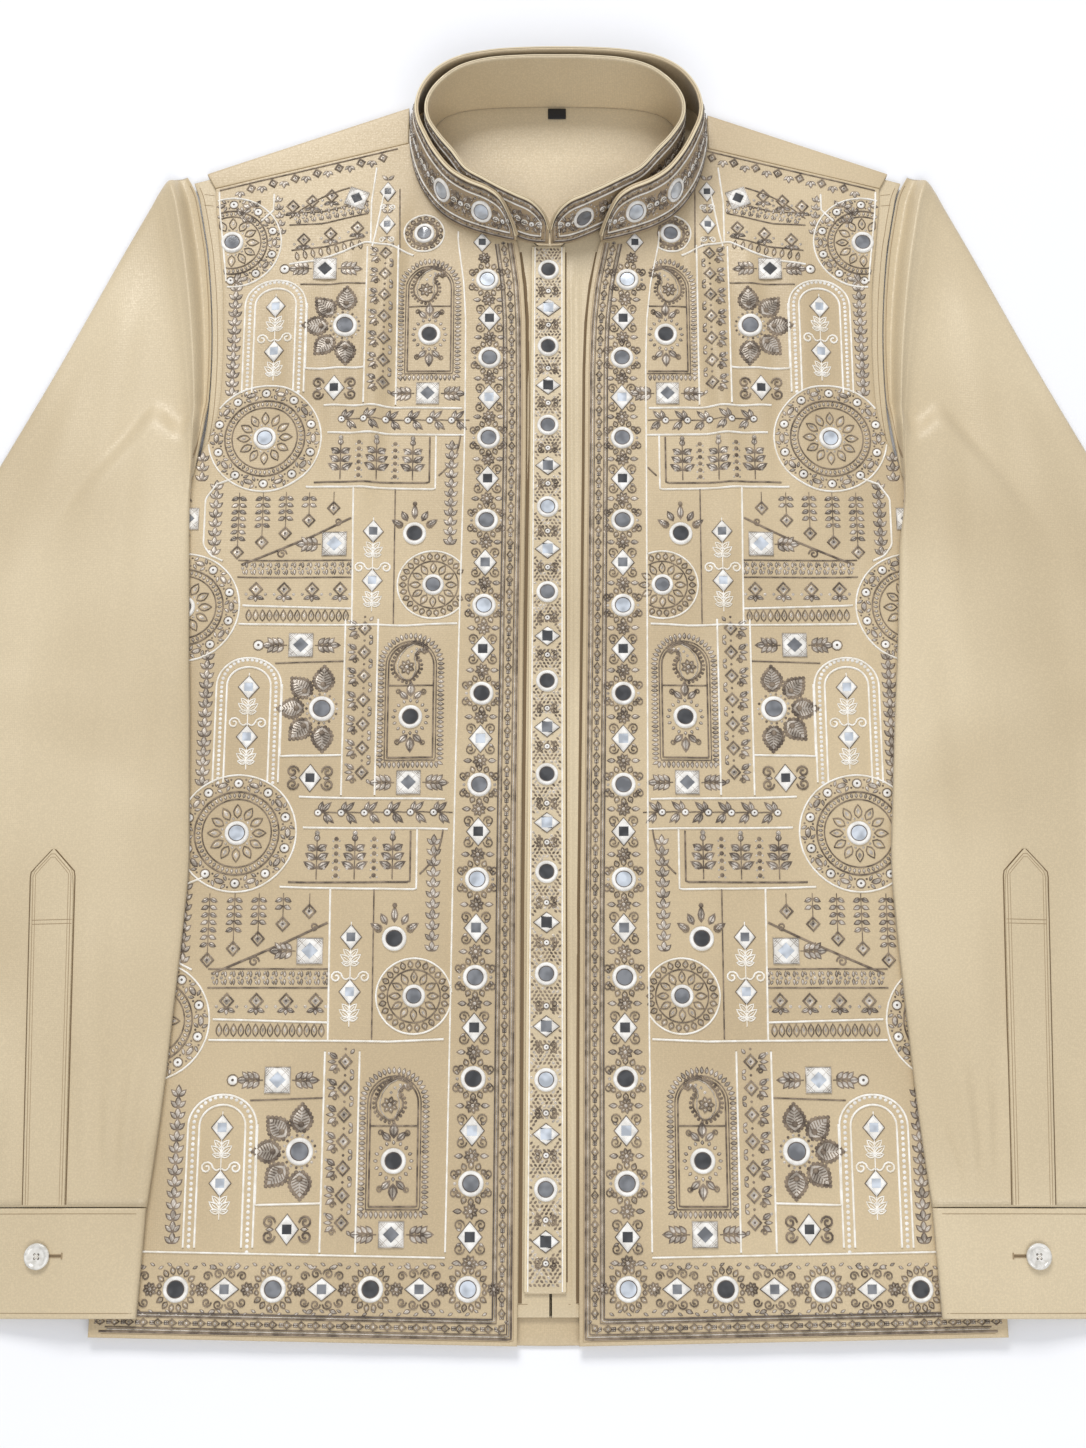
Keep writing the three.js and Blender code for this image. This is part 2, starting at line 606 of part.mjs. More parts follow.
function sleeve(side) {
  const places = topPlaces.concat(underPlaces);
  const skin = (inside) => (i, j) => {
    const station = sleeveStations[i];
    const width = Math.hypot(station.bx - station.ax, station.by - station.ay);
    const inset = inside ? sleeveWall / width : 0;
    const [x, y] = stationPoint(station, side, lerp(inset, 1 - inset, places[j]));
    const low = Math.max(kurtaBackZ * station.lift, groundZ(x, y));
    const innerDepth = Math.min(station.depth, sleeveDepth + 1);
    const depth = lerp(innerDepth, station.depth, smooth(0, 0.3, places[j]));
    return tubePoint(x, y, low, depth, sleeveWall, places[j], j < topPlaces.length, inside);
  };
  return wall(sleeveStations.length, places.length, skin(false), skin(true), true);
}

function cuff(side) {
  const rows = [
    { y: cuffTopY, inner: 236.8, outer: 351.6 },
    { y: lerp(cuffTopY, cuffBottomY, 0.5), inner: 238, outer: 350.8 },
    { y: cuffBottomY, inner: 239.4, outer: 350 },
  ];
  const places = topPlaces.concat(underPlaces);
  const skin = (inside) => (i, j) => {
    const row = rows[i];
    const inner = row.inner - tuck(side, row.y) * 1.04;
    const inset = inside ? cuffWall / (row.outer - inner) : 0;
    const x = side * lerp(inner, row.outer, lerp(inset, 1 - inset, places[j]));
    return tubePoint(x, row.y, groundZ(x, row.y), cuffDepth, cuffWall, places[j], j < topPlaces.length, inside);
  };
  return wall(rows.length, places.length, skin(false), skin(true), true);
}

// Pointed placket on the sleeve, laid on the sleeve's own surface
const sleevePlacket = {
  tipY: -124, shoulderY: -139, bottomY: -338.6, topX: [291.2, 305, 318.6], bottomX: [284.4, 297, 309.8],
};

function sleevePlacketPiece(side) {
  const shape = sleevePlacket;
  const shift = side < 0 ? 0 : 11;
  const ys = [shape.bottomY, -302, -262, -219, -175, shape.shoulderY];
  const steps = 9;
  const skin = (height) => (i, j) => {
    const t = j / (steps - 1);
    const y = ys[i];
    const up = (y - shape.bottomY) / (shape.shoulderY - shape.bottomY);
    const from = lerp(shape.bottomX[0], shape.topX[0], up);
    const to = lerp(shape.bottomX[2], shape.topX[2], up);
    const x = side * (lerp(from, to, t) - shift);
    const point = i === ys.length - 1 ? y + (shape.tipY - shape.shoulderY) * (1 - Math.abs(2 * t - 1)) : y;
    return [x, point, groundZ(x, point) + sleeveDepth + height];
  };
  return wall(ys.length, steps, skin(0.35), skin(0.35 + kurtaCloth));
}

// Cuff button: a raised rim round a shallow dish with four holes
function cuffButton(side) {
  const r = button.radius;
  const t = button.thickness;
  const profile = [[0, 0], [r - 0.8, 0], [r, 0.7], [r, t - 0.6], [r - 0.6, t], [r - 1.7, t], [r - 2.5, t - 0.8],
    [0, t - 0.8]].map(([x, y]) => new THREE.Vector2(x, y));
  const disc = new THREE.LatheGeometry(profile, 28);
  disc.rotateX(Math.PI / 2);
  let solid = toSolid(facingOut(merged(disc)));
  for (let k = 0; k < 4; k += 1) {
    const angle = Math.PI / 4 + k * Math.PI / 2;
    const hole = new THREE.CylinderGeometry(button.holeRadius, button.holeRadius, 3 * t, 8);
    hole.rotateX(Math.PI / 2);
    hole.translate(button.holeOffset * Math.cos(angle), button.holeOffset * Math.sin(angle), 0);
    solid = solid.subtract(toSolid(merged(hole)));
  }
  const mesh = addPiece(side < 0 ? 'cuff_button_left' : 'cuff_button_right', fromSolid(solid), colours.pearl, 0.25);
  const x = side < 0 ? button.leftX : button.rightX;
  mesh.position.set(x, button.y, groundZ(x, button.y) + cuffDepth + 0.4);
  mesh.rotation.y = side * Math.atan(sleeveOnBodyZ / rampLength);
}

function neckLabel() {
  const outline = [[0.4, 387.4], [12.8, 387.4], [12.8, 395.6], [0.4, 395.6]];
  return flatPanel(outline, onKurtaBack, 1);
}

// Assembly, from the lowest layer up
addPiece('jacket_back', jacketBack(), colours.jacket);
addPiece('kurta_back', kurtaBack(), colours.kurta);
addPiece('neck_label', neckLabel(), colours.label, 0.6);
for (const [word, side] of [['left', -1], ['right', 1]]) {
  addPiece(`kurta_front_${word}`, kurtaFront(side), colours.kurta);
  addPiece(`jacket_front_${word}`, jacketFront(side), colours.jacket);
  addPiece(`jacket_yoke_${word}`, yoke(side), colours.jacket);
  addPiece(`sleeve_${word}`, sleeve(side), colours.kurta);
  addPiece(`sleeve_placket_${word}`, sleevePlacketPiece(side), colours.kurta);
  addPiece(`cuff_${word}`, cuff(side), colours.kurta);
  cuffButton(side);
}
addPiece('kurta_placket', placket(), colours.placket);
addPiece('kurta_collar', collar(kurtaCollarHalf, kurtaCentre, 1.8, 1), colours.collar);
addPiece('jacket_collar', collar(jacketCollarHalf, () => jacketNeckX, 2, 1), colours.collar);

export default group;
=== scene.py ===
import json
import math

import bmesh
import bpy
import numpy as np
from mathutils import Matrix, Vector
from mathutils.bvhtree import BVHTree

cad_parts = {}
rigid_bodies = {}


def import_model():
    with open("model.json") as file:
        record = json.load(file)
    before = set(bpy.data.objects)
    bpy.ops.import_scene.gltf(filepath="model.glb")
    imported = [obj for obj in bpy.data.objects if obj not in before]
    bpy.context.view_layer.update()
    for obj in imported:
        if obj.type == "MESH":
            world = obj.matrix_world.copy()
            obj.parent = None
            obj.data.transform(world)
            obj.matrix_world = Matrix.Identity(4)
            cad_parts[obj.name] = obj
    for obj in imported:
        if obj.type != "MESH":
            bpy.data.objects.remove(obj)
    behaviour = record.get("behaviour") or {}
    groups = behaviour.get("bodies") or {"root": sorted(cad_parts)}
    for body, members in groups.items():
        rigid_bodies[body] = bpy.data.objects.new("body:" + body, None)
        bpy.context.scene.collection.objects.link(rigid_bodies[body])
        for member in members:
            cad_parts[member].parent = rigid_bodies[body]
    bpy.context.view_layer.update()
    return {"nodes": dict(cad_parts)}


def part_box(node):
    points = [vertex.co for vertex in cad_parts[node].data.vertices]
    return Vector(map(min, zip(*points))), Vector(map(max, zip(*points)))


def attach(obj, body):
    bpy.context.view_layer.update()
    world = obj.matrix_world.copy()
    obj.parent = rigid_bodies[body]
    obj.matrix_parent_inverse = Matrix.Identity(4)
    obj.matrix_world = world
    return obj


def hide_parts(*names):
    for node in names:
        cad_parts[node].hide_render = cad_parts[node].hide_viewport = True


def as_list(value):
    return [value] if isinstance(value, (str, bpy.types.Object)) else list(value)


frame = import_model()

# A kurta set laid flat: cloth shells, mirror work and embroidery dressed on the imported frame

NODES = frame["nodes"]
MM = 0.001
WORD = {-1: "left", 1: "right"}
CORNERS = [(-1, -1), (-1, 1), (1, -1), (1, 1)]

# Heights of the layers, millimetres above the surface
FRONT_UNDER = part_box("jacket_yoke_left")[1][2] / MM - 2.0
FRONT_TOP = FRONT_UNDER + 2.0
KURTA_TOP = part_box("kurta_front_left")[1][2] / MM

# Outline of the jacket fronts: front edge, neckline and side, as on the solids
HEM_Y = -418.0
KURTA_HEM_Y = -402.0
SIDE_HEM_Y = -413.0
NECK_X = 7.5
FRONT_EDGE = [  # y, left, right
    (-418, -18, 18), (-340, -17.6, 18.5), (-250, -17.2, 19), (-160, -17, 19.8), (-70, -16.4, 21.2),
    (20, -15.6, 22.6), (90, -14.8, 23.6), (130, -14.3, 24.2), (165, -14.2, 24.6), (200, -14.4, 25),
    (235, -14.8, 26.4), (262, -16.4, 29.4),
]
NECKLINE = [  # distance out from NECK_X, y
    (28.2, 293), (38, 296), (51, 300), (66, 305.5), (78.5, 314.5), (89.5, 330), (95.5, 343), (98.5, 366.8),
]
SIDE = [  # distance out from the middle, y
    (268, -413), (267, -336), (266, -245), (265, -152), (264, -62), (263, 20), (262, 98), (238, 114),
    (226, 140), (219.4, 155), (215.6, 179), (215, 213), (216, 235), (216.8, 255), (218.5, 272),
    (220.5, 288), (222, 301), (223.4, 312), (224.4, 322), (225, 332.4),
]
FRONT_FOLDS = [  # top x, top y, end x, end y, height, width
    (108, 352, 134, 20, 3.6, 14), (160, 330, 172, 90, 2.2, 15), (70, 120, 84, -250, 1.9, 17),
]

# Narrow ridges and troughs that sharpen the folds; they fade out before the cloth's edges
CREASES_FRONT = [
    (97, 372, 122, 70, 2.2, 6), (84, 378, 106, 110, -1.5, 6), (130, 360, 148, 60, 1.9, 7),
    (114, 366, 134, 60, -1.5, 6), (176, 300, 160, 40, 1.6, 9), (118, 150, 100, -140, 1.5, 8),
    (150, 40, 176, -250, 1.6, 10), (210, 120, 190, -110, 1.3, 9), (96, -60, 110, -300, 1.1, 8),
]

# Mirrors and the pitch of the field
COLUMN_TOP, COLUMN_PITCH, COLUMN_COUNT = 264.5, 59.25, 12
HEM_ROW_Y, HEM_ROW_X, HEM_ROW_PITCH, HEM_ROW_COUNT = -386.0, 47.0, 57.0, 4
PLACKET_TOP, PLACKET_PITCH, PLACKET_COUNT = 272.0, 60.1, 11
FIELD_TOP = 272.0
FIELD_PLACES = [(149, 272), (157, 8.5), (162.5, -265)]  # zero of each repeat: out, y
COLUMN_BOW, PLACKET_BOW = 8.5, 13.5


# Small maths

def smooth(low, high, value):
    t = np.clip((np.asarray(value, float) - low) / (high - low), 0, 1)
    return t * t * (3 - 2 * t)


def lerp(a, b, t):
    return a + (b - a) * t


def noise(i):
    """A repeatable number from 0 to 1 for the i-th of many."""
    return (math.sin(i * 12.9898 + 4.1) * 43758.5453) % 1.0


def fold_height(folds, x, y):
    out = np.abs(x)
    total = np.zeros_like(out, dtype=float)
    for top_x, top_y, end_x, end_y, height, width in folds:
        along = (top_y - y) / (top_y - end_y)
        centre = lerp(top_x, end_x, along)
        fade = smooth(0.12, 0.32, along) * (1 - smooth(0.6, 1, along))
        total = total + height * fade * np.exp(-(((out - centre) / width) ** 2))
    return total


def front_height(x, y):
    """Top of the jacket fronts: the drape folds, and the slight puckers that dense stitching leaves."""
    out = np.abs(x)
    sharp = fold_height(CREASES_FRONT, x, y)
    pucker = 0.16 * np.sin(out / 9.0 + 1.3 * np.sin(y / 31.0)) * np.sin(y / 12.5)
    return FRONT_TOP + fold_height(FRONT_FOLDS, x, y) + sharp + pucker * smooth(34, 60, out)


def edge_x(side, y):
    table = [(row[0], row[1] if side < 0 else row[2]) for row in FRONT_EDGE]
    table.append((293, NECK_X + side * NECKLINE[0][0]))
    return np.interp(y, [t[0] for t in table], [t[1] for t in table])


def side_x(y):
    return np.interp(y, [row[1] for row in SIDE], [row[0] for row in SIDE])


def hem_y(x):
    return np.interp(np.abs(x), [18, 268], [HEM_Y, SIDE_HEM_Y])


def seam_y(out):
    """The shoulder seam, which slants down away from the neck."""
    return 367.8 - (out - 91) * 0.264


def column_x(side, y):
    down = (COLUMN_TOP - y) / (COLUMN_PITCH * (COLUMN_COUNT - 1))
    return edge_x(side, y) + side * lerp(23.5, 28.7, down)


# Materials

def material(name, colour, roughness, metallic=0.0, sheen=0.0, coat=0.0):
    """A material with its tree, its shader, and the object's own place for patterns."""
    mat = bpy.data.materials.new(name)
    mat.use_nodes = True
    shader = mat.node_tree.nodes["Principled BSDF"]
    shader.inputs["Base Color"].default_value = (*colour, 1)
    shader.inputs["Roughness"].default_value = roughness
    shader.inputs["Metallic"].default_value = metallic
    shader.inputs["Sheen Weight"].default_value = sheen
    shader.inputs["Sheen Roughness"].default_value = 0.35
    shader.inputs["Coat Weight"].default_value = coat
    shader.inputs["Coat Roughness"].default_value = 0.12
    place = mat.node_tree.nodes.new("ShaderNodeTexCoord").outputs["Object"]
    return mat, mat.node_tree, shader, place


def node(tree, kind, links=(), **values):
    made = tree.nodes.new(kind)
    for key, value in values.items():
        if hasattr(made, key):
            setattr(made, key, value)
        else:
            made.inputs[key.replace("_", " ")].default_value = value
    for name, socket in links:
        tree.links.new(socket, made.inputs[name])
    return made


def pattern(tree, place, kind, **values):
    """The grey values of a noise or wave pattern."""
    return node(tree, "ShaderNodeTex" + kind, [("Vector", place)], **values).outputs["Fac"]


def tint(tree, shader, factor, stops, socket="Base Color"):
    """Colours a socket by a pattern's grey values."""
    made = tree.nodes.new("ShaderNodeValToRGB")
    tree.links.new(factor, made.inputs["Fac"])
    while len(made.color_ramp.elements) < len(stops):
        made.color_ramp.elements.new(0.5)
    for element, (place, colour) in zip(made.color_ramp.elements, stops):
        element.position = place
        element.color = (*colour, 1)
    tree.links.new(made.outputs["Color"], shader.inputs[socket])


def bump(tree, shader, height, strength, distance):
    made = node(tree, "ShaderNodeBump", [("Height", height)], Strength=strength, Distance=distance)
    tree.links.new(made.outputs["Normal"], shader.inputs["Normal"])


def cloth_material(name, base, light):
    """Silk blend: a fine weave with pale specks and a soft sheen; the broad lighter clouds in its colour are
    painted sheen.
    """
    mat, tree, shader, place = material(name, base, 0.45, sheen=0.2)
    painted_sheen = pattern(tree, place, "Noise", Scale=7.0, Detail=1.0)
    speck = pattern(tree, place, "Noise", Scale=900.0, Detail=1.0)
    mix = tree.nodes.new("ShaderNodeMix")
    mix.data_type = "RGBA"
    mix.blend_type = "MULTIPLY"
    mix.inputs["Factor"].default_value = 1.0
    # Painted sheen: broad clouds that lighten the base colour towards the second colour.
    tint(tree, mix, painted_sheen, [(0.35, [c * 0.97 for c in base]), (0.65, light)], "A")
    tint(tree, mix, speck, [(0.42, [0.965] * 3), (0.68, [1.07] * 3)], "B")
    tree.links.new(mix.outputs["Result"], shader.inputs["Base Color"])
    tint(tree, shader, speck, [(0.35, [0.5] * 3), (0.7, [0.34] * 3)], "Roughness")
    warp = pattern(tree, place, "Wave", Scale=260.0, Distortion=1.2)
    weft = pattern(tree, place, "Wave", bands_direction="Y", Scale=260.0, Distortion=1.2)
    weave = node(tree, "ShaderNodeMath", [(0, warp), (1, weft)], operation="ADD").outputs[0]
    grain = node(tree, "ShaderNodeMath", [(0, weave), (1, speck)], operation="ADD").outputs[0]
    bump(tree, shader, grain, 0.12, 0.0003)
    return mat


def thread_material(name, dark, light, roughness, metallic=0.0, twist=900.0):
    """Twisted thread: a slanting twist along the stitch, and a colour that drifts from stitch to stitch."""
    mat, tree, shader, place = material(name, light, roughness, metallic, sheen=0.2)
    drift = pattern(tree, place, "Noise", Scale=180.0, Detail=2.0)
    tint(tree, shader, drift, [(0.36, dark), (0.62, light)])
    wave = pattern(tree, place, "Wave", bands_direction="DIAGONAL", Scale=twist)
    bump(tree, shader, wave, 0.35, 0.0003)
    return mat


def glass_material(name, colour, roughness=0.12):
    """Small hand-cut mirror: a slightly uneven reflecting face, with a painted reflection that clouds its
    colour darker and lighter.
    """
    mat, tree, shader, place = material(name, colour, roughness, metallic=0.3, coat=0.3)
    reflection_and_ripple = pattern(tree, place, "Noise", Scale=140.0, Detail=1.0)
    # Painted reflection: the colour clouds between a darker and a lighter tone; the same pattern also ripples
    # the face.
    tint(tree, shader, reflection_and_ripple, [(0.38, [c * 0.62 for c in colour]), (0.62, colour)])
    bump(tree, shader, reflection_and_ripple, 0.15, 0.0006)
    return mat


def satin_material(name, colour, roughness):
    mat, tree, shader, place = material(name, colour, roughness, sheen=0.1)
    bump(tree, shader, pattern(tree, place, "Wave", Scale=700.0), 0.1, 0.0002)
    return mat


def pearl_material(name):
    mat, tree, shader, place = material(name, (0.7, 0.68, 0.63), 0.22, coat=0.7)
    swirl = pattern(tree, place, "Noise", Scale=160.0, Detail=2.0, Distortion=2.0)
    tint(tree, shader, swirl, [(0.3, (0.55, 0.53, 0.48)), (0.7, (0.82, 0.8, 0.76))])
    return mat


# The second colour of each cloth is the lighter tone of its painted sheen.
JACKET = cloth_material("jacket_silk", (0.51, 0.40, 0.248), (0.575, 0.462, 0.295))
KURTA = cloth_material("kurta_silk", (0.56, 0.455, 0.295), (0.63, 0.525, 0.355))
COLLAR_GROUND = cloth_material("collar_ground", (0.36, 0.268, 0.165), (0.45, 0.34, 0.215))
THREAD = thread_material("taupe_thread", (0.098, 0.070, 0.050), (0.285, 0.218, 0.155), 0.45)
DARK = thread_material("dark_thread", (0.07, 0.053, 0.043), (0.16, 0.125, 0.10), 0.5)
SILVER = thread_material("silver_thread", (0.31, 0.265, 0.215), (0.62, 0.56, 0.49), 0.35, metallic=0.4)
CORD = thread_material("cream_cord", (0.84, 0.78, 0.67), (0.97, 0.94, 0.88), 0.5)
RING = thread_material("ring_thread", (0.72, 0.69, 0.64), (0.9, 0.88, 0.84), 0.5, twist=500.0)
# Painted shadow: a dark brown laid in thin strips where shade falls, in gaps, under edges and in the
# buttonhole's slit.
SHADOW = satin_material("seam_shadow", (0.17, 0.115, 0.06), 0.85)
PIPING = satin_material("cloth_piping", (0.74, 0.63, 0.43), 0.42)
STITCH = satin_material("sewing_thread", (0.33, 0.24, 0.14), 0.7)
LABEL = satin_material("label_satin", (0.008, 0.008, 0.009), 0.5)
# Painted reflection: every mirror is the same glass, coloured dark, grey or pale for what it reflects.
GLASS_PAINTED_DARK_REFLECTION = glass_material("glass_painted_dark_reflection", (0.085, 0.087, 0.092))
GLASS_PAINTED_GREY_REFLECTION = glass_material("glass_painted_grey_reflection", (0.27, 0.28, 0.30))
GLASS_PAINTED_PALE_REFLECTION = glass_material("glass_painted_pale_reflection", (0.74, 0.80, 0.88), 0.2)
PEARL = pearl_material("pearl")

LAYERS = {
    "thread": (THREAD, "thread"),
    "dark": (DARK, "thread"),
    "silver": (SILVER, "silver"),
    "cord": (CORD, "cord"),
    "ring": (RING, "cord"),
    "piping": (PIPING, "jacket_cloth"),
    "shadow": (SHADOW, "jacket_cloth"),
    "stitch": (STITCH, "thread"),
    "glass_painted_dark_reflection": (GLASS_PAINTED_DARK_REFLECTION, "mirror_glass"),
    "glass_painted_grey_reflection": (GLASS_PAINTED_GREY_REFLECTION, "mirror_glass"),
    "glass_painted_pale_reflection": (GLASS_PAINTED_PALE_REFLECTION, "mirror_glass"),
}


# Mesh helpers

def linked(name, data):
    obj = bpy.data.objects.new(name, data)
    bpy.context.scene.collection.objects.link(obj)
    return obj


def finished(obj, mat, slot, *nodes):
    """Smooth faces, one material, and the piece's place in the frame."""
    mesh = obj.data
    mesh.polygons.foreach_set("use_smooth", [True] * len(mesh.polygons))
    mesh.materials.clear()
    mesh.materials.append(mat)
    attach(obj, "root")
    if nodes:
        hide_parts(*nodes)
    return obj


def mesh_object(name, points_mm, faces, mat, slot, *nodes):
    mesh = bpy.data.meshes.new(name)
    mesh.from_pydata((np.asarray(points_mm, float) * MM).tolist(), [], faces)
    mesh.validate()
    return finished(linked(name, mesh), mat, slot, *nodes)


def reworked(mesh, change, *values):
    """Opens a mesh, runs change on it and writes it back."""
    shape = bmesh.new()
    shape.from_mesh(mesh)
    change(shape, *values)
    shape.to_mesh(mesh)
    shape.free()


def grid_faces(rows, cols, start=0, flip=False, loop=False):
    faces = []
    spans = cols if loop else cols - 1
    for i in range(rows - 1):
        for j in range(spans):
            a = start + i * cols + j
            b = start + i * cols + (j + 1) % cols
            quad = (a, b, b + cols, a + cols)
            faces.append(quad[::-1] if flip else quad)
    return faces


def slab(name, over, under, mat, slot, *nodes):
    """A closed wall of cloth between two grids of points."""
    rows, cols = over.shape[:2]
    count = rows * cols
    faces = grid_faces(rows, cols) + grid_faces(rows, cols, count, flip=True)
    rim = [(0, j) for j in range(cols - 1)] + [(i, cols - 1) for i in range(rows - 1)]
    rim += [(rows - 1, j) for j in range(cols - 1, 0, -1)] + [(i, 0) for i in range(rows - 1, 0, -1)]
    ids = [i * cols + j for i, j in rim]
    for a, b in zip(ids, ids[1:] + ids[:1]):
        faces.append((b, a, a + count, b + count))
    points = np.concatenate([over.reshape(-1, 3), under.reshape(-1, 3)])
    obj = mesh_object(name, points, faces, mat, slot, *nodes)
    reworked(obj.data, outward)
    return obj


def outward(shape):
    bmesh.ops.recalc_face_normals(shape, faces=shape.faces)


def dressed_copy(name, node_name, mat, slot, levels=2):
    """The node's own solid as cloth, with its facets rounded off."""
    shape = bmesh.new()
    shape.from_mesh(NODES[node_name].data)
    bmesh.ops.remove_doubles(shape, verts=shape.verts, dist=2e-5)
    bmesh.ops.join_triangles(
        shape, faces=shape.faces, angle_face_threshold=0.6, angle_shape_threshold=1.2, cmp_seam=False
    )
    mesh = bpy.data.meshes.new(name)
    shape.to_mesh(mesh)
    shape.free()
    obj = linked(name, mesh)
    edge = obj.modifiers.new("edge", "BEVEL")
    edge.width = 0.0005
    edge.segments = 2
    edge.limit_method = "ANGLE"
    edge.angle_limit = math.radians(50)
    rounding = obj.modifiers.new("rounding", "SUBSURF")
    rounding.levels = levels
    rounding.render_levels = levels
    depsgraph = bpy.context.evaluated_depsgraph_get()
    rounded = bpy.data.meshes.new_from_object(obj.evaluated_get(depsgraph))
    obj.modifiers.clear()
    obj.data = rounded
    return finished(obj, mat, slot, node_name)


# Surfaces that needlework lies on. place() takes flat points in mm and heights above the cloth.

class FlatSurface:
    def __init__(self, height):
        self.height = height

    def place(self, flat, lift):
        z = self.height(flat[:, 0], flat[:, 1]) + lift
        return np.column_stack([flat[:, 0], flat[:, 1], z])


class DroppedSurface:
    """The top of a finished piece, found by dropping each point onto it."""

    def __init__(self, obj):
        self.tree = BVHTree.FromObject(obj, bpy.context.evaluated_depsgraph_get())

    def place(self, flat, lift):
        heights = []
        for x, y in flat:
            hit = self.tree.ray_cast(Vector((x * MM, y * MM, 0.2)), Vector((0, 0, -1)))[0]
            heights.append(hit.z / MM if hit else heights[-1] if heights else 0.0)
        return np.column_stack([flat[:, 0], flat[:, 1], np.array(heights) + lift])


# Needlework. A Spot is a place on the cloth: its own x and y, a turn and a mirror flip.

class Spot:
    def __init__(self, x, y, turn=0.0, flip=1.0, size=1.0):
        self.x, self.y, self.turn, self.flip, self.size = x, y, turn, flip, size

    def at(self, flat):
        flat = np.asarray(flat, float) * self.size
        cos, sin = math.cos(self.turn), math.sin(self.turn)
        x = flat[:, 0] * cos - flat[:, 1] * sin
        y = flat[:, 0] * sin + flat[:, 1] * cos
        return np.column_stack([self.x + self.flip * x, self.y + y])

    def inner(self, x, y, turn=0.0, size=1.0):
        """A spot given in this one's own axes."""
        place = self.at([(x, y)])[0]
        return Spot(place[0], place[1], self.turn + turn, self.flip, self.size * size)


class Work:
    """Collects the stitches of one surface, then makes one joined mesh for each material."""

    def __init__(self, surface):
        self.surface = surface
        self.store = {}

    def add(self, layer, points, faces):
        points_list, faces_list, count = self.store.setdefault(layer, ([], [], [0]))
        points_list.append(points)
        faces_list.append(np.asarray(faces) + count[0])
        count[0] += len(points)

    def placed(self, outlines, rises):
        return np.concatenate([
            self.surface.place(flat, np.full(len(flat), float(rise))) for flat, rise in zip(outlines, rises)
        ])

    def line(self, layer, flat, width, height, closed=False, lift=0.0):
        """A thread or cord laid along the points."""
        flat = np.asarray(flat, float)
        if closed:
            run = np.roll(flat, -1, axis=0) - np.roll(flat, 1, axis=0)
        else:
            run = np.gradient(flat, axis=0)
        run /= np.maximum(np.linalg.norm(run, axis=1, keepdims=True), 1e-6)
        across = np.column_stack([-run[:, 1], run[:, 0]]) * width / 2
        n = len(flat)
        rail = [flat + across, flat + across * 0.55, flat - across * 0.55, flat - across]
        rise = [lift, lift + height, lift + height, lift]
        points = self.placed(rail, rise)
        ends = n if closed else n - 1
        i = np.arange(ends)
        j = (i + 1) % n
        faces = [np.column_stack([k * n + i, (k + 1) * n + i, (k + 1) * n + j, k * n + j]) for k in range(3)]
        self.add(layer, points, np.concatenate(faces))

    def dome(self, layer, outline, height, crown):
        """A padded shape: its outline, a raised shoulder inside it and a middle point."""
        outline = np.asarray(outline, float)
        middle = outline.mean(axis=0)
        n = len(outline)
        shoulder = lerp(middle, outline, crown)
        points = self.placed([outline, shoulder, middle[None, :]], (0, height * 0.85, height))
        self.add(layer, points, np.concatenate([ring_faces(2, n), fan_faces(n, n)]))

    def peak(self, layer, outline, height, lift=0.0):
        """A small padded stitch: its outline and a raised middle point."""
        outline = np.asarray(outline, float)
        points = self.placed([outline, outline.mean(axis=0)[None, :]], (lift, lift + height))
        self.add(layer, points, fan_faces(len(outline)))

    def rings(self, layer, outlines, rises):
        """A raised band through closed outlines of equally many points, each at its own height."""
        self.add(layer, self.placed(outlines, rises), ring_faces(len(outlines), len(outlines[0])))

    def objects(self, prefix):
        for layer, (points, faces, _) in self.store.items():
            mat, slot = LAYERS[layer]
            quads = np.concatenate(faces).tolist()
            faces = [quad[:3] if quad[2] == quad[3] else quad for quad in quads]
            mesh = mesh_object(f"{prefix}_{layer}", np.concatenate(points), faces, mat, slot).data
            reworked(mesh, turned_up, [face.index for face in mesh.polygons if face.normal.z < 0])


def turned_up(shape, wrong):
    """Turns the faces of mirrored stitches over, so that every one faces away from the cloth."""
    shape.faces.ensure_lookup_table()
    bmesh.ops.reverse_faces(shape, faces=[shape.faces[i] for i in wrong])


def ring_faces(count, n):
    """Quads between closed rings of n points each."""
    i = np.arange(n)
    j = (i + 1) % n
    return np.concatenate([
        np.column_stack([k * n + i, k * n + j, (k + 1) * n + j, (k + 1) * n + i]) for k in range(count - 1)
    ])


def fan_faces(n, start=0):
    """Triangles from a closed ring of n points to the one point after it, written as quads."""
    i = np.arange(n)
    tip = np.full(n, start + n)
    return np.column_stack([start + i, start + (i + 1) % n, tip, tip])


def level(height):
    """A flat height, for surfaces and undersides."""
    return lambda x, y: np.full_like(x, height)


# Outlines, in a spot's own millimetres

def circle(r, n, start=0.0, sweep=2 * math.pi):
    full = abs(sweep - 2 * math.pi) < 1e-6
    turns = start + sweep * np.arange(n) / (n if full else n - 1)
    return np.column_stack([r * np.cos(turns), r * np.sin(turns)])


def leaf_outline(length, width, n):
    t = np.linspace(0, 1, n + 2)
    half = width / 2 * np.sin(np.pi * t ** 0.85)
    up = np.column_stack([t * length, half])
    down = np.column_stack([t * length, -half])[1:-1][::-1]
    return np.concatenate([up, down])


def spiral(r):
    t = np.linspace(0, 1, 14)
    radius = r * (1 - 0.78 * t)
    angle = math.pi - t * 1.35 * 2 * math.pi
    return np.column_stack([r + radius * np.cos(angle), radius * np.sin(angle)])


def arc_line(x0, y0, x1, y1, bow, n=9):
    t = np.linspace(0, 1, n)
    dx, dy = x1 - x0, y1 - y0
    hump = bow * np.sin(np.pi * t)
    long = math.hypot(dx, dy)
    return np.column_stack([x0 + dx * t - dy / long * hump, y0 + dy * t + dx / long * hump])


PLAIN = Spot(0, 0)


# Stitches and small motifs

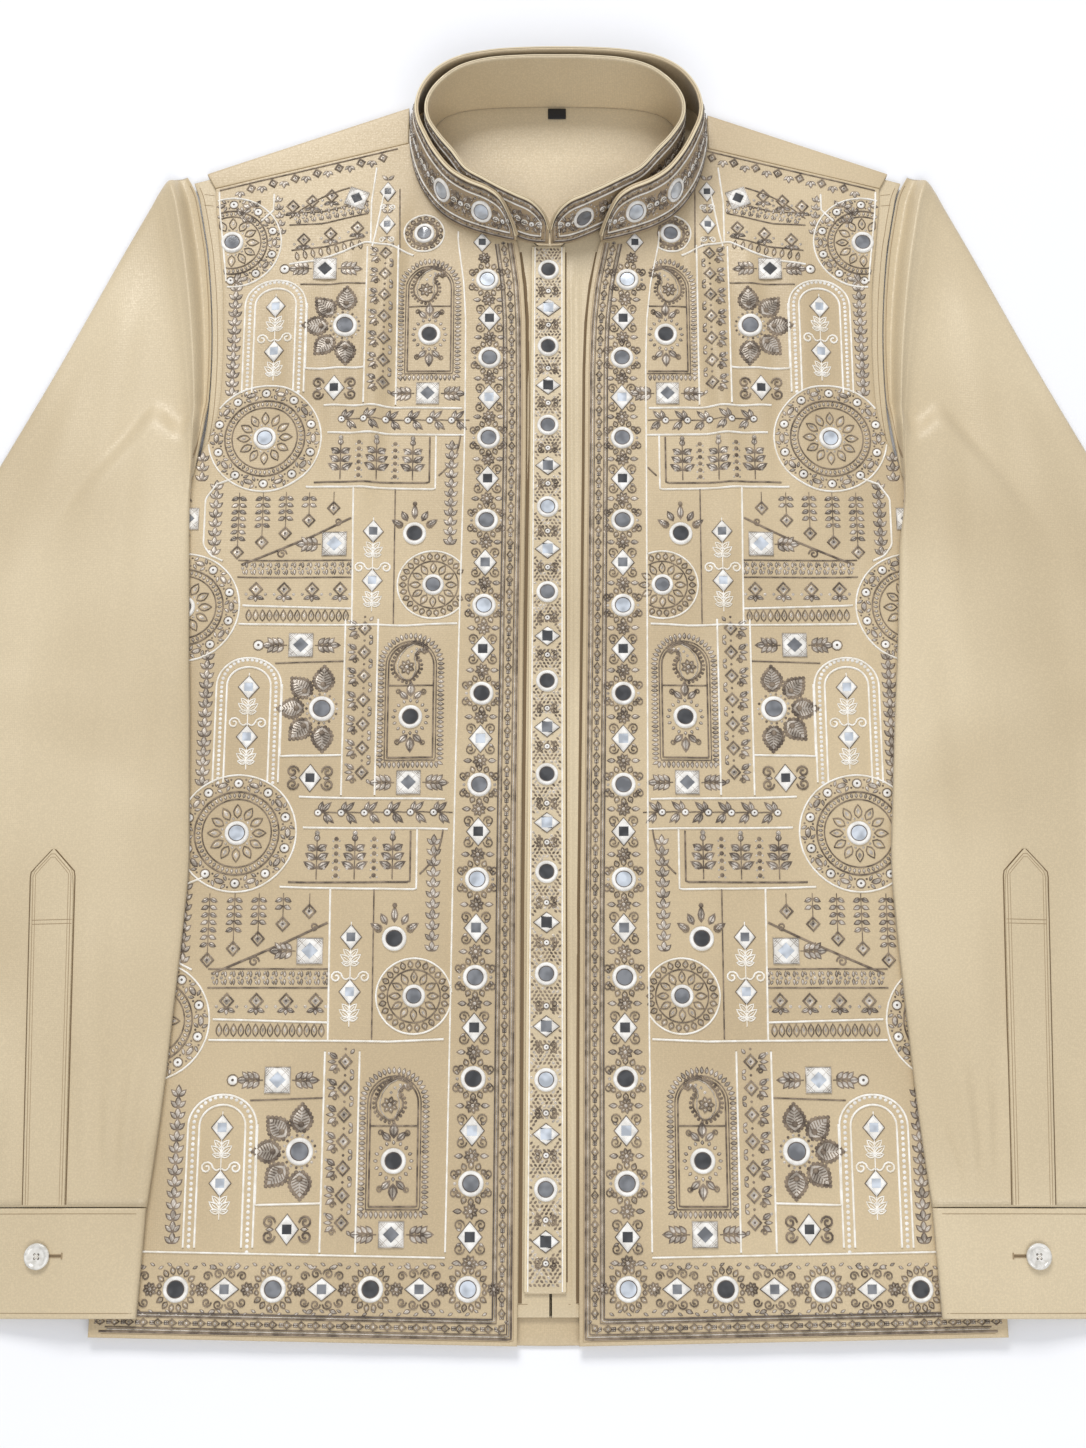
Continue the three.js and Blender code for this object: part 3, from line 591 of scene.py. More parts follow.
def leaf(work, spot, length, width, layer="thread", rib=True):
    """A leaf outlined in thread, with paler stitches inside and, if large, a vein."""
    length, width = length * 1.18, width * 1.4
    outline = leaf_outline(length, width, 3)
    if layer == "cord":
        work.line("cord", spot.at(outline), 0.85, 0.6, closed=True)
        work.line("cord", spot.at([(0, 0), (length * 0.7, 0)]), 0.6, 0.5)
        return
    work.peak(layer, spot.at(outline), 0.7)
    inner = outline * [0.62, 0.58] + [length * 0.2, 0]
    work.peak("silver", spot.at(inner), 0.55, lift=0.35)
    if rib:
        work.line("dark", spot.at([(length * 0.2, 0), (length * 0.82, 0)]), 0.4, 0.3, lift=0.75)


def loop(work, spot, length, width):
    """A loop petal: an outlined leaf with a silver stitch in it."""
    work.line("thread", spot.at(leaf_outline(length, width, 3)), 0.85, 0.6, closed=True)
    work.peak("silver", spot.at(leaf_outline(length * 0.5, width * 0.5, 2) + [length * 0.28, 0]), 0.5)


def curl(work, spot, r, layer="thread", width=0.8, rise=0.6, stretch=(1, 1)):
    work.line(layer, spot.at(spiral(r) * stretch), width, rise)


def bead(work, spot, r, layer="silver", n=8):
    if r < 1.6:
        work.peak(layer, spot.at(circle(r, n)), r)
    else:
        work.dome(layer, spot.at(circle(r, n)), r * 0.8, crown=0.7)


def sequin(work, spot, r):
    work.dome("ring", spot.at(circle(r * 0.9, 10)), 0.6, crown=0.75)
    work.peak("dark", spot.at(circle(r * 0.36, 6)), 0.35, lift=0.5)
    work.line("thread", spot.at(circle(r * 1.05, 10)), 0.6, 0.5, closed=True)


def around(spot, r, count, start=0.0):
    """Spots on a circle, each turned outward."""
    for k in range(count):
        turn = start + 2 * math.pi * k / count
        yield spot.inner(r * math.cos(turn), r * math.sin(turn), turn)


def flower(work, spot, petals, inside, outside, width, start=0.0):
    for place in around(spot, inside, petals, start):
        loop(work, place, outside - inside, width)


# Mirrors

def ringed_glass(work, spot, outline, glass, bands):
    """Glass in a wide thread-wrapped ring: each band runs through shares of one outline."""
    for layer, (shares, rises) in zip(("ring", "dark", glass), bands):
        work.rings(layer, [spot.at(outline * share) for share in shares], rises)


def round_mirror(work, spot, r=7.6, glass="glass_painted_grey_reflection"):
    hole = r * 0.66
    ringed_glass(work, spot, circle(1, 30), glass, (
        ((r, r * 0.97, r * 0.86, r * 0.74, hole), (0, 1.15, 1.6, 1.35, 0.75)),
        ((hole + 0.25, hole - 0.35), (0.98, 0.8)),
        ((hole, hole * 0.5, 0.02), (0.75, 0.8, 0.82)),
    ))


def with_middles(corners):
    """The corners and the middles between them, as one ring."""
    corners = np.array(corners, float)
    middles = (corners + np.roll(corners, -1, axis=0)) / 2
    return np.stack([corners, middles], axis=1).reshape(-1, 2)


def framed_glass(work, spot, glass, corners, window, shift, flare):
    """A flat pane in a padded frame. The shift turns the pane's ring of points to meet the frame's."""
    frame_ring = with_middles(corners)
    pane = np.roll(with_middles(window), shift, axis=0)
    outlines = (frame_ring, frame_ring * 0.95, pane * flare, pane)
    work.rings("ring", [spot.at(outline) for outline in outlines], (0.0, 1.1, 1.4, 1.0))
    work.add(glass, work.placed([spot.at(window)], [1.0]), [[0, 1, 2, 3]])


def diamond_mirror(work, spot, glass, half_x=7.1, half_y=8.7):
    corners = [(half_x, 0), (0, half_y), (-half_x, 0), (0, -half_y)]
    w = half_x * 0.42
    framed_glass(work, spot, glass, corners, [(w, w), (-w, w), (-w, -w), (w, -w)], 1, 1.1)
    work.line("thread", spot.at(np.array(corners) * 1.04), 0.7, 0.45, closed=True)


def square_mirror(work, spot, glass, half):
    corners = [(half, half), (-half, half), (-half, -half), (half, -half)]
    w = half * 0.66
    framed_glass(work, spot, glass, corners, [(w, 0), (0, w), (-w, 0), (0, -w)], -1, 1.08)
    work.line("silver", spot.at(np.array(corners) * 1.03), 0.8, 0.9, closed=True)
    for x, y in CORNERS:
        for k in range(4):
            a = half * (0.92 - 0.2 * k)
            b = half * (0.92 - 0.2 * (3 - k))
            across = [(x * a, y * half * 0.94), (x * half * 0.94, y * a)]
            work.line("silver", spot.at(across), 0.35, 0.3, lift=1.1)
            inward = [(x * b, y * b), (x * half * 0.9, y * half * 0.9)]
            work.line("silver", spot.at(inward), 0.3, 0.3, lift=1.1)


# Fine shells of cloth between rails

def along(table, count):
    """Rows of numbers run through smoothly, by row: a Catmull-Rom curve."""
    table = np.asarray(table, float)
    place = np.linspace(0, len(table) - 1, count)
    i = np.clip(place.astype(int), 0, len(table) - 2)
    t = (place - i)[:, None]
    before = table[np.maximum(i - 1, 0)]
    after = table[np.minimum(i + 2, len(table) - 1)]
    low, high = table[i], table[i + 1]
    return 0.5 * (
        2 * low + (high - before) * t + (2 * before - 5 * low + 4 * high - after) * t ** 2
        + (3 * low - before - 3 * high + after) * t ** 3
    )


def resampled(points, count):
    """The same polyline with evenly spaced points."""
    points = np.asarray(points, float)
    steps = np.linalg.norm(np.diff(points, axis=0), axis=1)
    run = np.concatenate([[0], np.cumsum(steps)])
    place = np.linspace(0, run[-1], count)
    return np.column_stack([np.interp(place, run, points[:, k]) for k in range(points.shape[1])])


def edged(places, width, edge=0.6):
    """Adds a place close to each end, so that the cloth's edge can round over."""
    share = edge / width
    return np.concatenate([[0, share * 0.35, share], places[1:-1], [1 - share, 1 - share * 0.35, 1]])


def round_over(rows, cols):
    """How far the top lies below its full height near the edges."""
    drop = np.zeros((rows, cols))
    for k, fall in enumerate((0.55, 0.121)):
        drop[k, :] = np.maximum(drop[k, :], fall)
        drop[rows - 1 - k, :] = np.maximum(drop[rows - 1 - k, :], fall)
        drop[:, k] = np.maximum(drop[:, k], fall)
        drop[:, cols - 1 - k] = np.maximum(drop[:, cols - 1 - k], fall)
    return drop


def between_rails(inner, outer, rows, cols, bias=1.0):
    """Flat points from the inner rail to the outer one. A bias over 1 crowds columns to the inner one."""
    u = edged(np.linspace(0, 1, cols) ** bias, 240.0)
    v = edged(np.linspace(0, 1, rows), 780.0)
    place = np.arange(len(inner))
    ins = np.column_stack([np.interp(v * (len(inner) - 1), place, inner[:, k]) for k in (0, 1)])
    outs = np.column_stack([np.interp(v * (len(inner) - 1), place, outer[:, k]) for k in (0, 1)])
    return ins[:, None, :] * (1 - u[None, :, None]) + outs[:, None, :] * u[None, :, None]


def cloth_slab(name, flat, over_z, under_z, mat, slot, node_name):
    x, y = flat[..., 0], flat[..., 1]
    drop = round_over(*x.shape)
    over = np.dstack([x, y, over_z(x, y) - drop])
    under = np.dstack([x, y, under_z(x, y) + drop * 0.3])
    return slab(name, over, under, mat, slot, node_name)


# Jacket fronts

def jacket_front(side):
    inner = [(row[1] if side < 0 else row[2], row[0]) for row in FRONT_EDGE]
    neck = [(NECK_X + side * out, y) for out, y in NECKLINE]
    neck[-1] = (neck[-1][0], seam_y(abs(neck[-1][0])))
    inner = np.array(inner + neck, float)
    outer = np.array([(side * out, y) for out, y in SIDE], float)
    fine_inner = along(inner, 20 * 12 + 1)
    fine_outer = along(outer, 20 * 12 + 1)
    flat = between_rails(fine_inner, fine_outer, 200, 78)

    def under(x, y):
        return FRONT_UNDER + 0.02 + fold_height(FRONT_FOLDS, x, y)

    return cloth_slab(
        f"front_{WORD[side]}", flat, front_height, under, JACKET, "jacket_cloth", f"jacket_front_{WORD[side]}"
    )


# Back panels and the kurta's fronts

BACK_TOP = [  # x, y from the shoulder to the middle
    (225, 332), (215, 338.5), (109.3, 377.5), (106, 400), (93, 407), (67, 409.5), (0, 409.5),
]
KURTA_SIDE = [
    (258, -402), (257, -330), (256, -220), (255, -110), (254, 0), (253, 84), (240, 102), (231, 122),
    (226.8, 141), (223.6, 165), (222.4, 190), (222.7, 221), (224.7, 253), (228, 284), (231, 301),
    (233.8, 315.5), (236.4, 328), (240, 337.6),
]
KURTA_BACK_TOP = [(240, 337.6), (93, 379.6), (88, 391), (76, 397.5), (55, 400), (30, 401), (0, 401)]
KURTA_NECKLINE = [
    (12, 295), (24, 299), (36, 305), (50, 312.5), (62, 321.5), (72.5, 333.5), (79.8, 346.5), (84.3, 361),
    (84.6, 373), (88, 383),
]


def back_grid(side, top, hem, left_shift):
    """A whole back from side to side. left_shift moves its neck's left half, which is nearer the middle."""
    v = edged(np.linspace(0, 1, 76), 780.0)
    u = edged(np.linspace(0, 1, 54), 500.0) * 2 - 1
    top_x = [p[0] for p in top][::-1]
    top_y = [p[1] for p in top][::-1]
    side_ys = [p[1] for p in side]
    side_xs = [p[0] for p in side]
    grid_u, grid_v = np.meshgrid(u, v)
    y = lerp(hem, top[0][1], grid_v)
    for _ in range(8):
        x = grid_u * np.interp(y, side_ys, side_xs)
        reach = np.where(x < 0, np.abs(x) + left_shift * smooth(230, 110, np.abs(x)), x)
        roof = np.interp(reach, top_x, top_y)
        y = lerp(hem + 5 * np.abs(x) / 268, roof, grid_v)
    return np.dstack([x, y])


def soft_waves(x, y):
    return 0.036 * np.sin(x / 37.0 + 1.7 * np.sin(y / 83.0)) * np.sin(y / 83.0 + 0.6)


def backs():
    for name, grid, top, under, mat, slot, node_name in (
        ("back", back_grid(SIDE, BACK_TOP, HEM_Y, 15), 1.55, 0.02, JACKET, "jacket_cloth", "jacket_back"),
        ("kurta_inside", back_grid(KURTA_SIDE, KURTA_BACK_TOP, KURTA_HEM_Y, 10), 3.05, 1.92,
         KURTA, "kurta_cloth", "kurta_back"),
    ):
        cloth_slab(name, grid, lambda x, y: top + soft_waves(x, y), level(under), mat, slot, node_name)


PLACKET_MIDDLE = 1.5


def kurta_centre(y):
    return lerp(PLACKET_MIDDLE, 5.0, smooth(300, 352, y))


def pleats(x, y):
    """Soft vertical folds where the kurta shows between its placket and the jacket."""
    drift = 0.9 * np.sin(y / 120.0)
    right = 1.5 * np.exp(-(((x - 15.2 - drift) / 1.3) ** 2))
    right = right + 0.9 * np.exp(-(((x - 19.0 - drift) / 1.1) ** 2))
    right = right * smooth(0, 2.5, edge_x(1, y) - x)
    left = 0.9 * np.exp(-(((x + 13.0) / 1.0) ** 2)) * smooth(0, 1.6, x - edge_x(-1, y))
    return (right + left * smooth(60, 200, y)) * (1 - smooth(262, 284, y)) * smooth(KURTA_HEM_Y, -390, y)


def kurta_front(side):
    low_rows = len(KURTA_SIDE) - len(KURTA_NECKLINE)
    edge = PLACKET_MIDDLE + side * 0.15
    low = [(edge, lerp(KURTA_HEM_Y, 270, i / (low_rows - 1))) for i in range(low_rows)]
    neck = [(float(kurta_centre(y)) + side * out, y) for out, y in KURTA_NECKLINE]
    top_x = neck[-1][0]
    neck[-1] = (top_x, 337.6 + (240 - abs(top_x)) * 0.286)
    inner = along(np.array(low + neck, float), 17 * 10 + 1)
    outer = along(np.array([(side * x, y) for x, y in KURTA_SIDE], float), 17 * 10 + 1)
    inner[:, 0] = np.where(inner[:, 1] < 262, edge, inner[:, 0])
    flat = between_rails(inner, outer, 120, 88, bias=2.0)
    return cloth_slab(
        f"kurta_breast_{WORD[side]}", flat, lambda x, y: KURTA_TOP - 0.05 + pleats(x, y),
        level(KURTA_TOP - 1.2), KURTA, "kurta_cloth", f"kurta_front_{WORD[side]}",
    )


# Sleeves and cuffs

SLEEVE = [  # inner x, y, outer x, y, curve, lift, depth
    (230, 126, 245, 343, 1, 1, 2.7), (230.6, 123, 249, 342, 0.9, 0.5, 2.8),
    (231.4, 118, 257, 338.5, 0.62, 0.1, 11.5), (231.4, 111, 263, 331, 0.5, 0, 9.5),
    (231.4, 104, 270, 317, 0.35, 0, 7.5), (231, 90, 288, 279.5, 0.15, 0, 6.5),
    (230, 66, 322, 206, 0, 0, 6), (228.5, 34, 357, 134, 0, 0, 6),
    (227, 0, 391, 66, 0, 0, 6), (225, -36, 414, 12, 0, 0, 6),
    (223.5, -72, 420, -38, 0, 0, 6), (222, -105, 412, -88, 0, 0, 6),
    (221, -136, 400, -136, 0, 0, 6), (223, -175, 390, -175, 0, 0, 6),
    (226, -219, 379, -219, 0, 0, 6), (229, -262, 369, -262, 0, 0, 6),
    (232.5, -302, 359.5, -302, 0, 0, 6), (236.5, -339.3, 351.5, -339.3, 0, 0, 6),
]
ARMHOLE = [
    (230, 126), (227.6, 141), (224.4, 165), (223.2, 190), (223.5, 221), (225.5, 253), (229, 284), (232, 301),
    (234.8, 315.5), (238.2, 329.5), (245, 343),
]
SLEEVE_FOLDS = [(268, 320, 306, 10, 2.4, 12), (300, 240, 356, -40, 1.8, 14)]
SLEEVE_ON_BODY = 7.2
SLEEVE_WALL, CUFF_WALL = 1.25, 2.1
CUFF_TOP, CUFF_BOTTOM, CUFF_DEPTH = -339.9, -402.6, 6.4


def ground(x, y):
    """Height of what a sleeve lies on: the body's side, then the surface beyond it."""
    out = np.abs(x)
    side = lerp(268.0, 262.0, (y - SIDE_HEM_Y) / (98 - SIDE_HEM_Y))
    down = np.clip((out - side - 16) / 50, 0, 1)
    clear = 98 + (262 - out) * 57 / 43 + 14 + 40 * smooth(235, 262, out)
    above = smooth(0, 22, y - clear)
    return SLEEVE_ON_BODY * (1 - down) * (1 - above)


def tuck(side, y):
    if side < 0:
        return np.zeros_like(y)
    return 4 * (1 - smooth(70, 116, y)) + 6 * (1 - smooth(-190, 100, y))


def rounded_edge(place, share=0.05):
    near = np.minimum(1, np.minimum(place, 1 - place) / share)
    return np.sqrt(np.maximum(0, 1 - (1 - near) ** 2))


# Creases of the sleeves: x, y where each starts and ends, how far it bows, width and height
CREASES = [
    (284, 262, 316, 60, 6, 15, 1.5), (256, 160, 270, -60, -4, 13, 1.4), (318, 150, 350, -10, 5, 16, 1.3),
    (240, 10, 250, -150, -3, 10, 1.2), (270, -40, 398, -30, 10, 18, 0.9),
    (242, -110, 340, -70, 6, 14, 0.7), (262, -150, 254, -310, 3, 10, 1.2),
    (340, -160, 336, -320, -3, 12, 1.0), (372, -150, 354, -290, 3, 9, 0.8),
    (276, -240, 270, -336, 2, 6, 1.2), (322, -256, 324, -337, -2, 6, 1.0), (246, -250, 252, -337, 1, 5, 1.9),
    (262, -270, 258, -337, 1, 4, 1.2), (232, -292, 243, -337, 3, 4, 1.6), (340, -280, 338, -337, 1, 4, 1.3),
]


def crease_height(x, y):
    out = np.abs(x)
    total = np.zeros_like(out)
    for x0, y0, x1, y1, bow, width, height in CREASES:
        dx, dy = x1 - x0, y1 - y0
        long = math.hypot(dx, dy)
        t = ((out - x0) * dx + (y - y0) * dy) / long ** 2
        s = ((out - x0) * -dy + (y - y0) * dx) / long
        hump = bow * np.sin(np.pi * np.clip(t, 0, 1))
        fade = smooth(-0.12, 0.25, t) * (1 - smooth(0.75, 1.12, t))
        ridge = np.exp(-(((s - hump) / width) ** 2))
        trough = np.exp(-(((s - hump - width * 1.25) / (width * 0.7)) ** 2))
        total = total + fade * (height * ridge - height * 0.35 * trough)
    return np.where(total < 0, 0.8 * np.tanh(total / 0.8), total)


def tube(name, rows_of, count, node_name):
    """A flattened tube of the kurta's cloth, open at both ends."""
    over = np.concatenate([[0, 0.006, 0.016, 0.032], np.linspace(0.05, 0.95, 64), [0.968, 0.984, 0.994]])
    under = np.concatenate([[1, 0.985, 0.96], np.linspace(0.93, 0.07, 12), [0.04, 0.015]])
    places = np.concatenate([over, under])
    is_over = np.arange(len(places)) < len(over)
    skins = [rows_of(count, places, is_over, inside) for inside in (False, True)]
    cols = len(places)
    size = count * cols
    faces = grid_faces(count, cols, 0, loop=True) + grid_faces(count, cols, size, flip=True, loop=True)
    for row in (0, count - 1):
        for j in range(cols):
            a, b = row * cols + j, row * cols + (j + 1) % cols
            faces.append((a, b, b + size, a + size))
    points = np.concatenate([skin.reshape(-1, 3) for skin in skins])
    obj = mesh_object(name, points, faces, KURTA, "kurta_cloth", node_name)
    reworked(obj.data, outward)
    return obj


def sleeve(side):
    table = along(SLEEVE, 17 * 9 + 1)
    seam = resampled(along(ARMHOLE, 101), 401)
    share = np.linspace(0, 1, 401)

    def rows_of(count, places, is_over, inside):
        rows = table[np.linspace(0, len(table) - 1, count).astype(int)]
        ax, ay, bx, by, curve, lift, depth = (rows[:, k][:, None] for k in range(7))
        width = np.hypot(bx - ax, by - ay)
        inset = SLEEVE_WALL / width if inside else 0 * width
        place = inset + (1 - 2 * inset) * places[None, :]
        shift = np.where(curve > 0.99, 0, tuck(side, ay))
        first = SLEEVE[0]
        bend_x = (np.interp(place, share, seam[:, 0]) - lerp(first[0], first[2], place)) * curve
        bend_y = (np.interp(place, share, seam[:, 1]) - lerp(first[1], first[3], place)) * curve
        x = side * (lerp(ax - shift, bx, place) + bend_x)
        y = lerp(ay, by, place) + bend_y
        low = np.maximum(1.9 * lift, ground(x, y)) + 0.02
        full = lerp(np.minimum(depth, 7), depth, smooth(0, 0.3, places)[None, :]) - 0.04
        half = (full / 2 - (SLEEVE_WALL if inside else 0)) * rounded_edge(places)[None, :]
        soft = rounded_edge(places, 0.12)[None, :] * smooth(0, 9, np.arange(count))[:, None]
        soft = soft * smooth(0, 8, count - 1 - np.arange(count))[:, None]
        fold = fold_height(SLEEVE_FOLDS, x, y) * rounded_edge(places)[None, :]
        crease = crease_height(x, y) * soft
        station = np.linspace(0, 17, count)[:, None]
        head = 1.9 * np.exp(-(((station - 1.95) / 0.3) ** 2)) - 2.6 * np.exp(-(((station - 1.35) / 0.3) ** 2))
        head = head + 0.5 * np.exp(-(((station - 3.2) / 0.8) ** 2))
        crease = crease + head * rounded_edge(places, 0.1)[None, :]
        z = np.where(is_over[None, :], low + full / 2 + half + fold + crease, low + full / 2 - half)
        return np.dstack([x, y, z])

    return tube(f"arm_{WORD[side]}", rows_of, 136, f"sleeve_{WORD[side]}")


def cuff(side):
    def rows_of(count, places, is_over, inside):
        v = edged(np.linspace(0, 1, count - 4), 62.7, 1.0)
        y = lerp(CUFF_TOP, CUFF_BOTTOM, v)[:, None]
        inner = lerp(236.8, 239.4, v)[:, None] - tuck(side, y) * 1.04
        outer = lerp(351.6, 350.0, v)[:, None]
        wall = CUFF_WALL if inside else 0
        inset = wall / (outer - inner)
        place = inset + (1 - 2 * inset) * places[None, :]
        x = side * lerp(inner, outer, place)
        drop = np.zeros((count, 1))
        for k, fall in enumerate((0.7, 0.15)):
            drop[k, 0] = drop[count - 1 - k, 0] = fall
        sign = -1 if inside else 1
        low = ground(x, y) + 0.02
        half = (CUFF_DEPTH / 2 - 0.02 - wall) * rounded_edge(places, 0.045)[None, :] - drop * sign
        half = np.maximum(half, 0.02)
        middle = low + CUFF_DEPTH / 2 - 0.02
        puff = 0.22 * np.sin(x / 9.0 + 1.5) * np.sin(y / 14.0) * np.sin(np.pi * v)[:, None]
        puff = puff * rounded_edge(places, 0.2)[None, :]
        z = np.where(is_over[None, :], middle + half + puff, middle - half)
        return np.dstack([x, y + 0 * x, z])

    return tube(f"wristband_{WORD[side]}", rows_of, 40, f"cuff_{WORD[side]}")


# Standing collars

JACKET_COLLAR = [  # out, y of the seam, out and y of the rim, height of the rim, height of the seam
    (28.4, 293, 28.6, 294.6, 12, 7.2), (31, 292.8, 32.4, 301.2, 23, 7.2), (37.4, 293.9, 38.9, 309.4, 35, 7.2),
    (51.6, 297.7, 47.5, 315.4, 38, 7.2), (66, 303.4, 61, 321, 39, 7.2), (79.4, 312.6, 72.9, 329, 40, 7.2),
    (90.5, 327.5, 83.2, 342.2, 41, 7.2), (97, 343, 90, 355, 42, 7.2), (100.5, 360, 94.4, 366, 43, 7.2),
    (100.7, 372, 95, 377, 43, 7.2), (99, 385, 91, 389.7, 43, 5.2), (93, 396.5, 81.5, 402, 43, 1.9),
    (76, 404, 66.5, 410.8, 43, 1.9), (50, 406.5, 46, 415.4, 43, 1.9), (25, 407.3, 26, 417.2, 43, 1.9),
    (0, 407.5, 0, 417.8, 43, 1.9),
]
KURTA_COLLAR = [
    (0.7, 292, 0.7, 296.6, 17, 4.9), (6, 292.2, 4.2, 301.6, 28, 4.9), (14, 293, 12.3, 306.6, 36, 4.9),
    (24, 297, 23, 310.6, 38.5, 4.9), (36, 303, 33.5, 315.4, 39.5, 4.9), (50, 310.5, 45.4, 321.6, 40.5, 4.9),
    (63, 320, 58, 329, 41, 4.9), (74, 332.5, 68, 341, 42, 4.9), (81.5, 346, 77.5, 352, 43, 4.9),
    (86, 361, 85, 364.5, 44, 4.9), (85.5, 376, 85.5, 377.5, 44, 4.9), (78, 388.5, 78.5, 390.5, 44, 3.4),
    (64, 394.8, 64.3, 402.5, 44, 3.4), (44, 397.5, 45, 408.7, 44, 3.4), (20, 398.4, 20, 410.8, 44, 3.4),
    (0, 398.6, 0, 411, 44, 3.4),
]


def collar_skin(half, centre_at, depth, levels, count):
    """One face of a collar as levels by stations points: depth is how far it lies behind the outer face."""
    table = np.array(half, float)
    sides = []
    for side in (-1, 1):
        seam = np.column_stack([centre_at(table[:, 1]) + side * table[:, 0], table[:, 1], table[:, 5]])
        rim = np.column_stack([centre_at(table[:, 3]) + side * table[:, 2], table[:, 3], table[:, 4]])
        sides.append(np.column_stack([seam, rim]))
    whole = np.concatenate([sides[0], sides[1][:-1][::-1]])
    fine = along(whole, count)
    skin = np.zeros((len(levels), count, 3))
    for i, level in enumerate(levels):
        line = lerp(fine[:, :3], fine[:, 3:], level)
        run = np.gradient(line, axis=0)
        inward = np.column_stack([run[:, 1], -run[:, 0]])
        inward /= np.linalg.norm(inward, axis=1, keepdims=True)
        swell = math.sin(math.pi * level)
        skin[i] = line
        skin[i, :, :2] += inward * (depth - swell)
    return skin


def standing_collar(name, half, centre_at, thickness, lining, slot, node_name, gathered):
    """A collar's wall, lined with its garment's cloth. Gives the outer face for needlework."""
    levels = np.concatenate([[0, 0.02], np.linspace(0.06, 0.94, 13), [0.975, 1]])
    count = 30 * 8 + 1
    outer = collar_skin(half, centre_at, 0, levels, count)
    inner = collar_skin(half, centre_at, thickness, levels, count)
    station = np.arange(count)
    gather = 0.55 * np.sin(station / 2.6 + 1.4 * np.sin(station / 9.0)) * smooth(60, 90, station)
    gather = gather * (1 - smooth(count - 90, count - 60, station)) * gathered
    way = inner - outer
    way = way / np.linalg.norm(way, axis=2, keepdims=True)
    inner = inner + way * (gather[None, :] * np.sin(np.pi * levels)[:, None])[:, :, None]
    middle = (outer + inner) / 2
    for k, share in ((len(levels) - 1, 0.45), (0, 0.2)):
        outer[k] = lerp(outer[k], middle[k], share)
        inner[k] = lerp(inner[k], middle[k], share)
    obj = slab(name, outer, inner, COLLAR_GROUND, slot, node_name)
    obj.data.materials.append(lining)
    outer_faces = (len(levels) - 1) * (count - 1)
    for index, face in enumerate(obj.data.polygons):
        face.material_index = 0 if index < outer_faces else 1
    return GridSurface(collar_skin(half, centre_at, 0, np.linspace(0, 1, 9), count))


class GridSurface:
    """The outer face of a collar: u runs along it from its left end, v up from its seam, in mm."""

    def __init__(self, skin):
        self.points = np.transpose(skin, (1, 0, 2))
        run = np.gradient(self.points, axis=0)
        rise = np.gradient(self.points, axis=1)
        normal = np.cross(rise, run)
        normal /= np.maximum(np.linalg.norm(normal, axis=2, keepdims=True), 1e-6)
        middle = self.points.mean(axis=(0, 1))
        if np.sum(normal[:, :, :2] * (self.points - middle)[:, :, :2]) < 0:
            normal = -normal
        self.normals = normal
        centre_line = self.points[:, self.points.shape[1] // 2]
        steps = np.linalg.norm(np.diff(centre_line, axis=0), axis=1)
        self.along = np.concatenate([[0], np.cumsum(steps)])
        self.length = self.along[-1]
        self.tall = np.linalg.norm(self.points[:, -1] - self.points[:, 0], axis=1)

    def height_at(self, u):
        return np.interp(u, self.along, self.tall)

    def nearest(self, x, y):
        """Distance along the collar of the point nearest to x, y."""
        centre_line = self.points[:, self.points.shape[1] // 2]
        return self.along[np.argmin(np.hypot(centre_line[:, 0] - x, centre_line[:, 1] - y))]

    def place(self, flat, lift):
        row = np.interp(flat[:, 0], self.along, np.arange(len(self.along)))
        level = np.clip(flat[:, 1] / self.height_at(flat[:, 0]), 0, 1) * (self.points.shape[1] - 1)
        i = np.minimum(row.astype(int), len(self.along) - 2)
        j = np.minimum(level.astype(int), self.points.shape[1] - 2)
        s = (row - i)[:, None]
        t = (level - j)[:, None]

        def blend(grid):
            low = grid[i, j] * (1 - s) + grid[i + 1, j] * s
            high = grid[i, j + 1] * (1 - s) + grid[i + 1, j + 1] * s
            return low * (1 - t) + high * t

        return blend(self.points) + blend(self.normals) * np.reshape(lift, (-1, 1))


# Light, floor and camera

CAMERA_PLACE = (-0.003, -0.3721, 1.2294)
CAMERA_TILT = 15.05


def camera():
    data = bpy.data.cameras.new("camera")
    obj = linked("camera", data)
    data.sensor_fit = "VERTICAL"
    data.sensor_height = 36.0
    data.lens = 50.0
    obj.location = CAMERA_PLACE
    obj.rotation_euler = (math.radians(CAMERA_TILT), 0, 0)
    bpy.context.scene.camera = obj


def area_light(name, place, aim, size, power, colour):
    data = bpy.data.lights.new(name, "AREA")
    data.shape = "RECTANGLE"
    data.size, data.size_y = size
    data.energy = power
    data.color = colour
    obj = linked(name, data)
    obj.location = place
    obj.rotation_euler = (Vector(aim) - Vector(place)).to_track_quat("-Z", "Y").to_euler()


def stage():
    mesh = bpy.data.meshes.new("floor")
    shape = bmesh.new()
    bmesh.ops.create_grid(shape, x_segments=4, y_segments=4, size=6.0)
    shape.to_mesh(mesh)
    shape.free()
    floor = linked("floor", mesh)
    floor.location.z = -0.0005
    mesh.materials.append(satin_material("floor_paper", (0.86, 0.87, 0.9), 0.9))
    world = bpy.data.worlds.new("studio")
    bpy.context.scene.world = world
    world.use_nodes = True
    sky = world.node_tree.nodes["Background"]
    sky.inputs["Color"].default_value = (0.93, 0.95, 1.0, 1)
    sky.inputs["Strength"].default_value = 0.55
    area_light("key", (-0.45, 2.4, 2.3), (0.0, 0, 0), (1.3, 1.1), 66.0, (1, 0.985, 0.955))
    area_light("fill", (0.2, -1.6, 1.8), (0, 0, 0), (1.6, 1.2), 22.0, (1, 0.99, 0.965))


bpy.context.scene.view_settings.view_transform = "Standard"
camera()
stage()


# Needlework on the jacket fronts. Lengths run outward from the middle and up from a block's own zero.

def sleeve_edge(side, y):
    ys = [row[1] for row in SLEEVE][::-1]
    xs = [row[0] for row in SLEEVE][::-1]
    return np.interp(y, ys, xs) - float(tuck(side, np.array(float(y))))


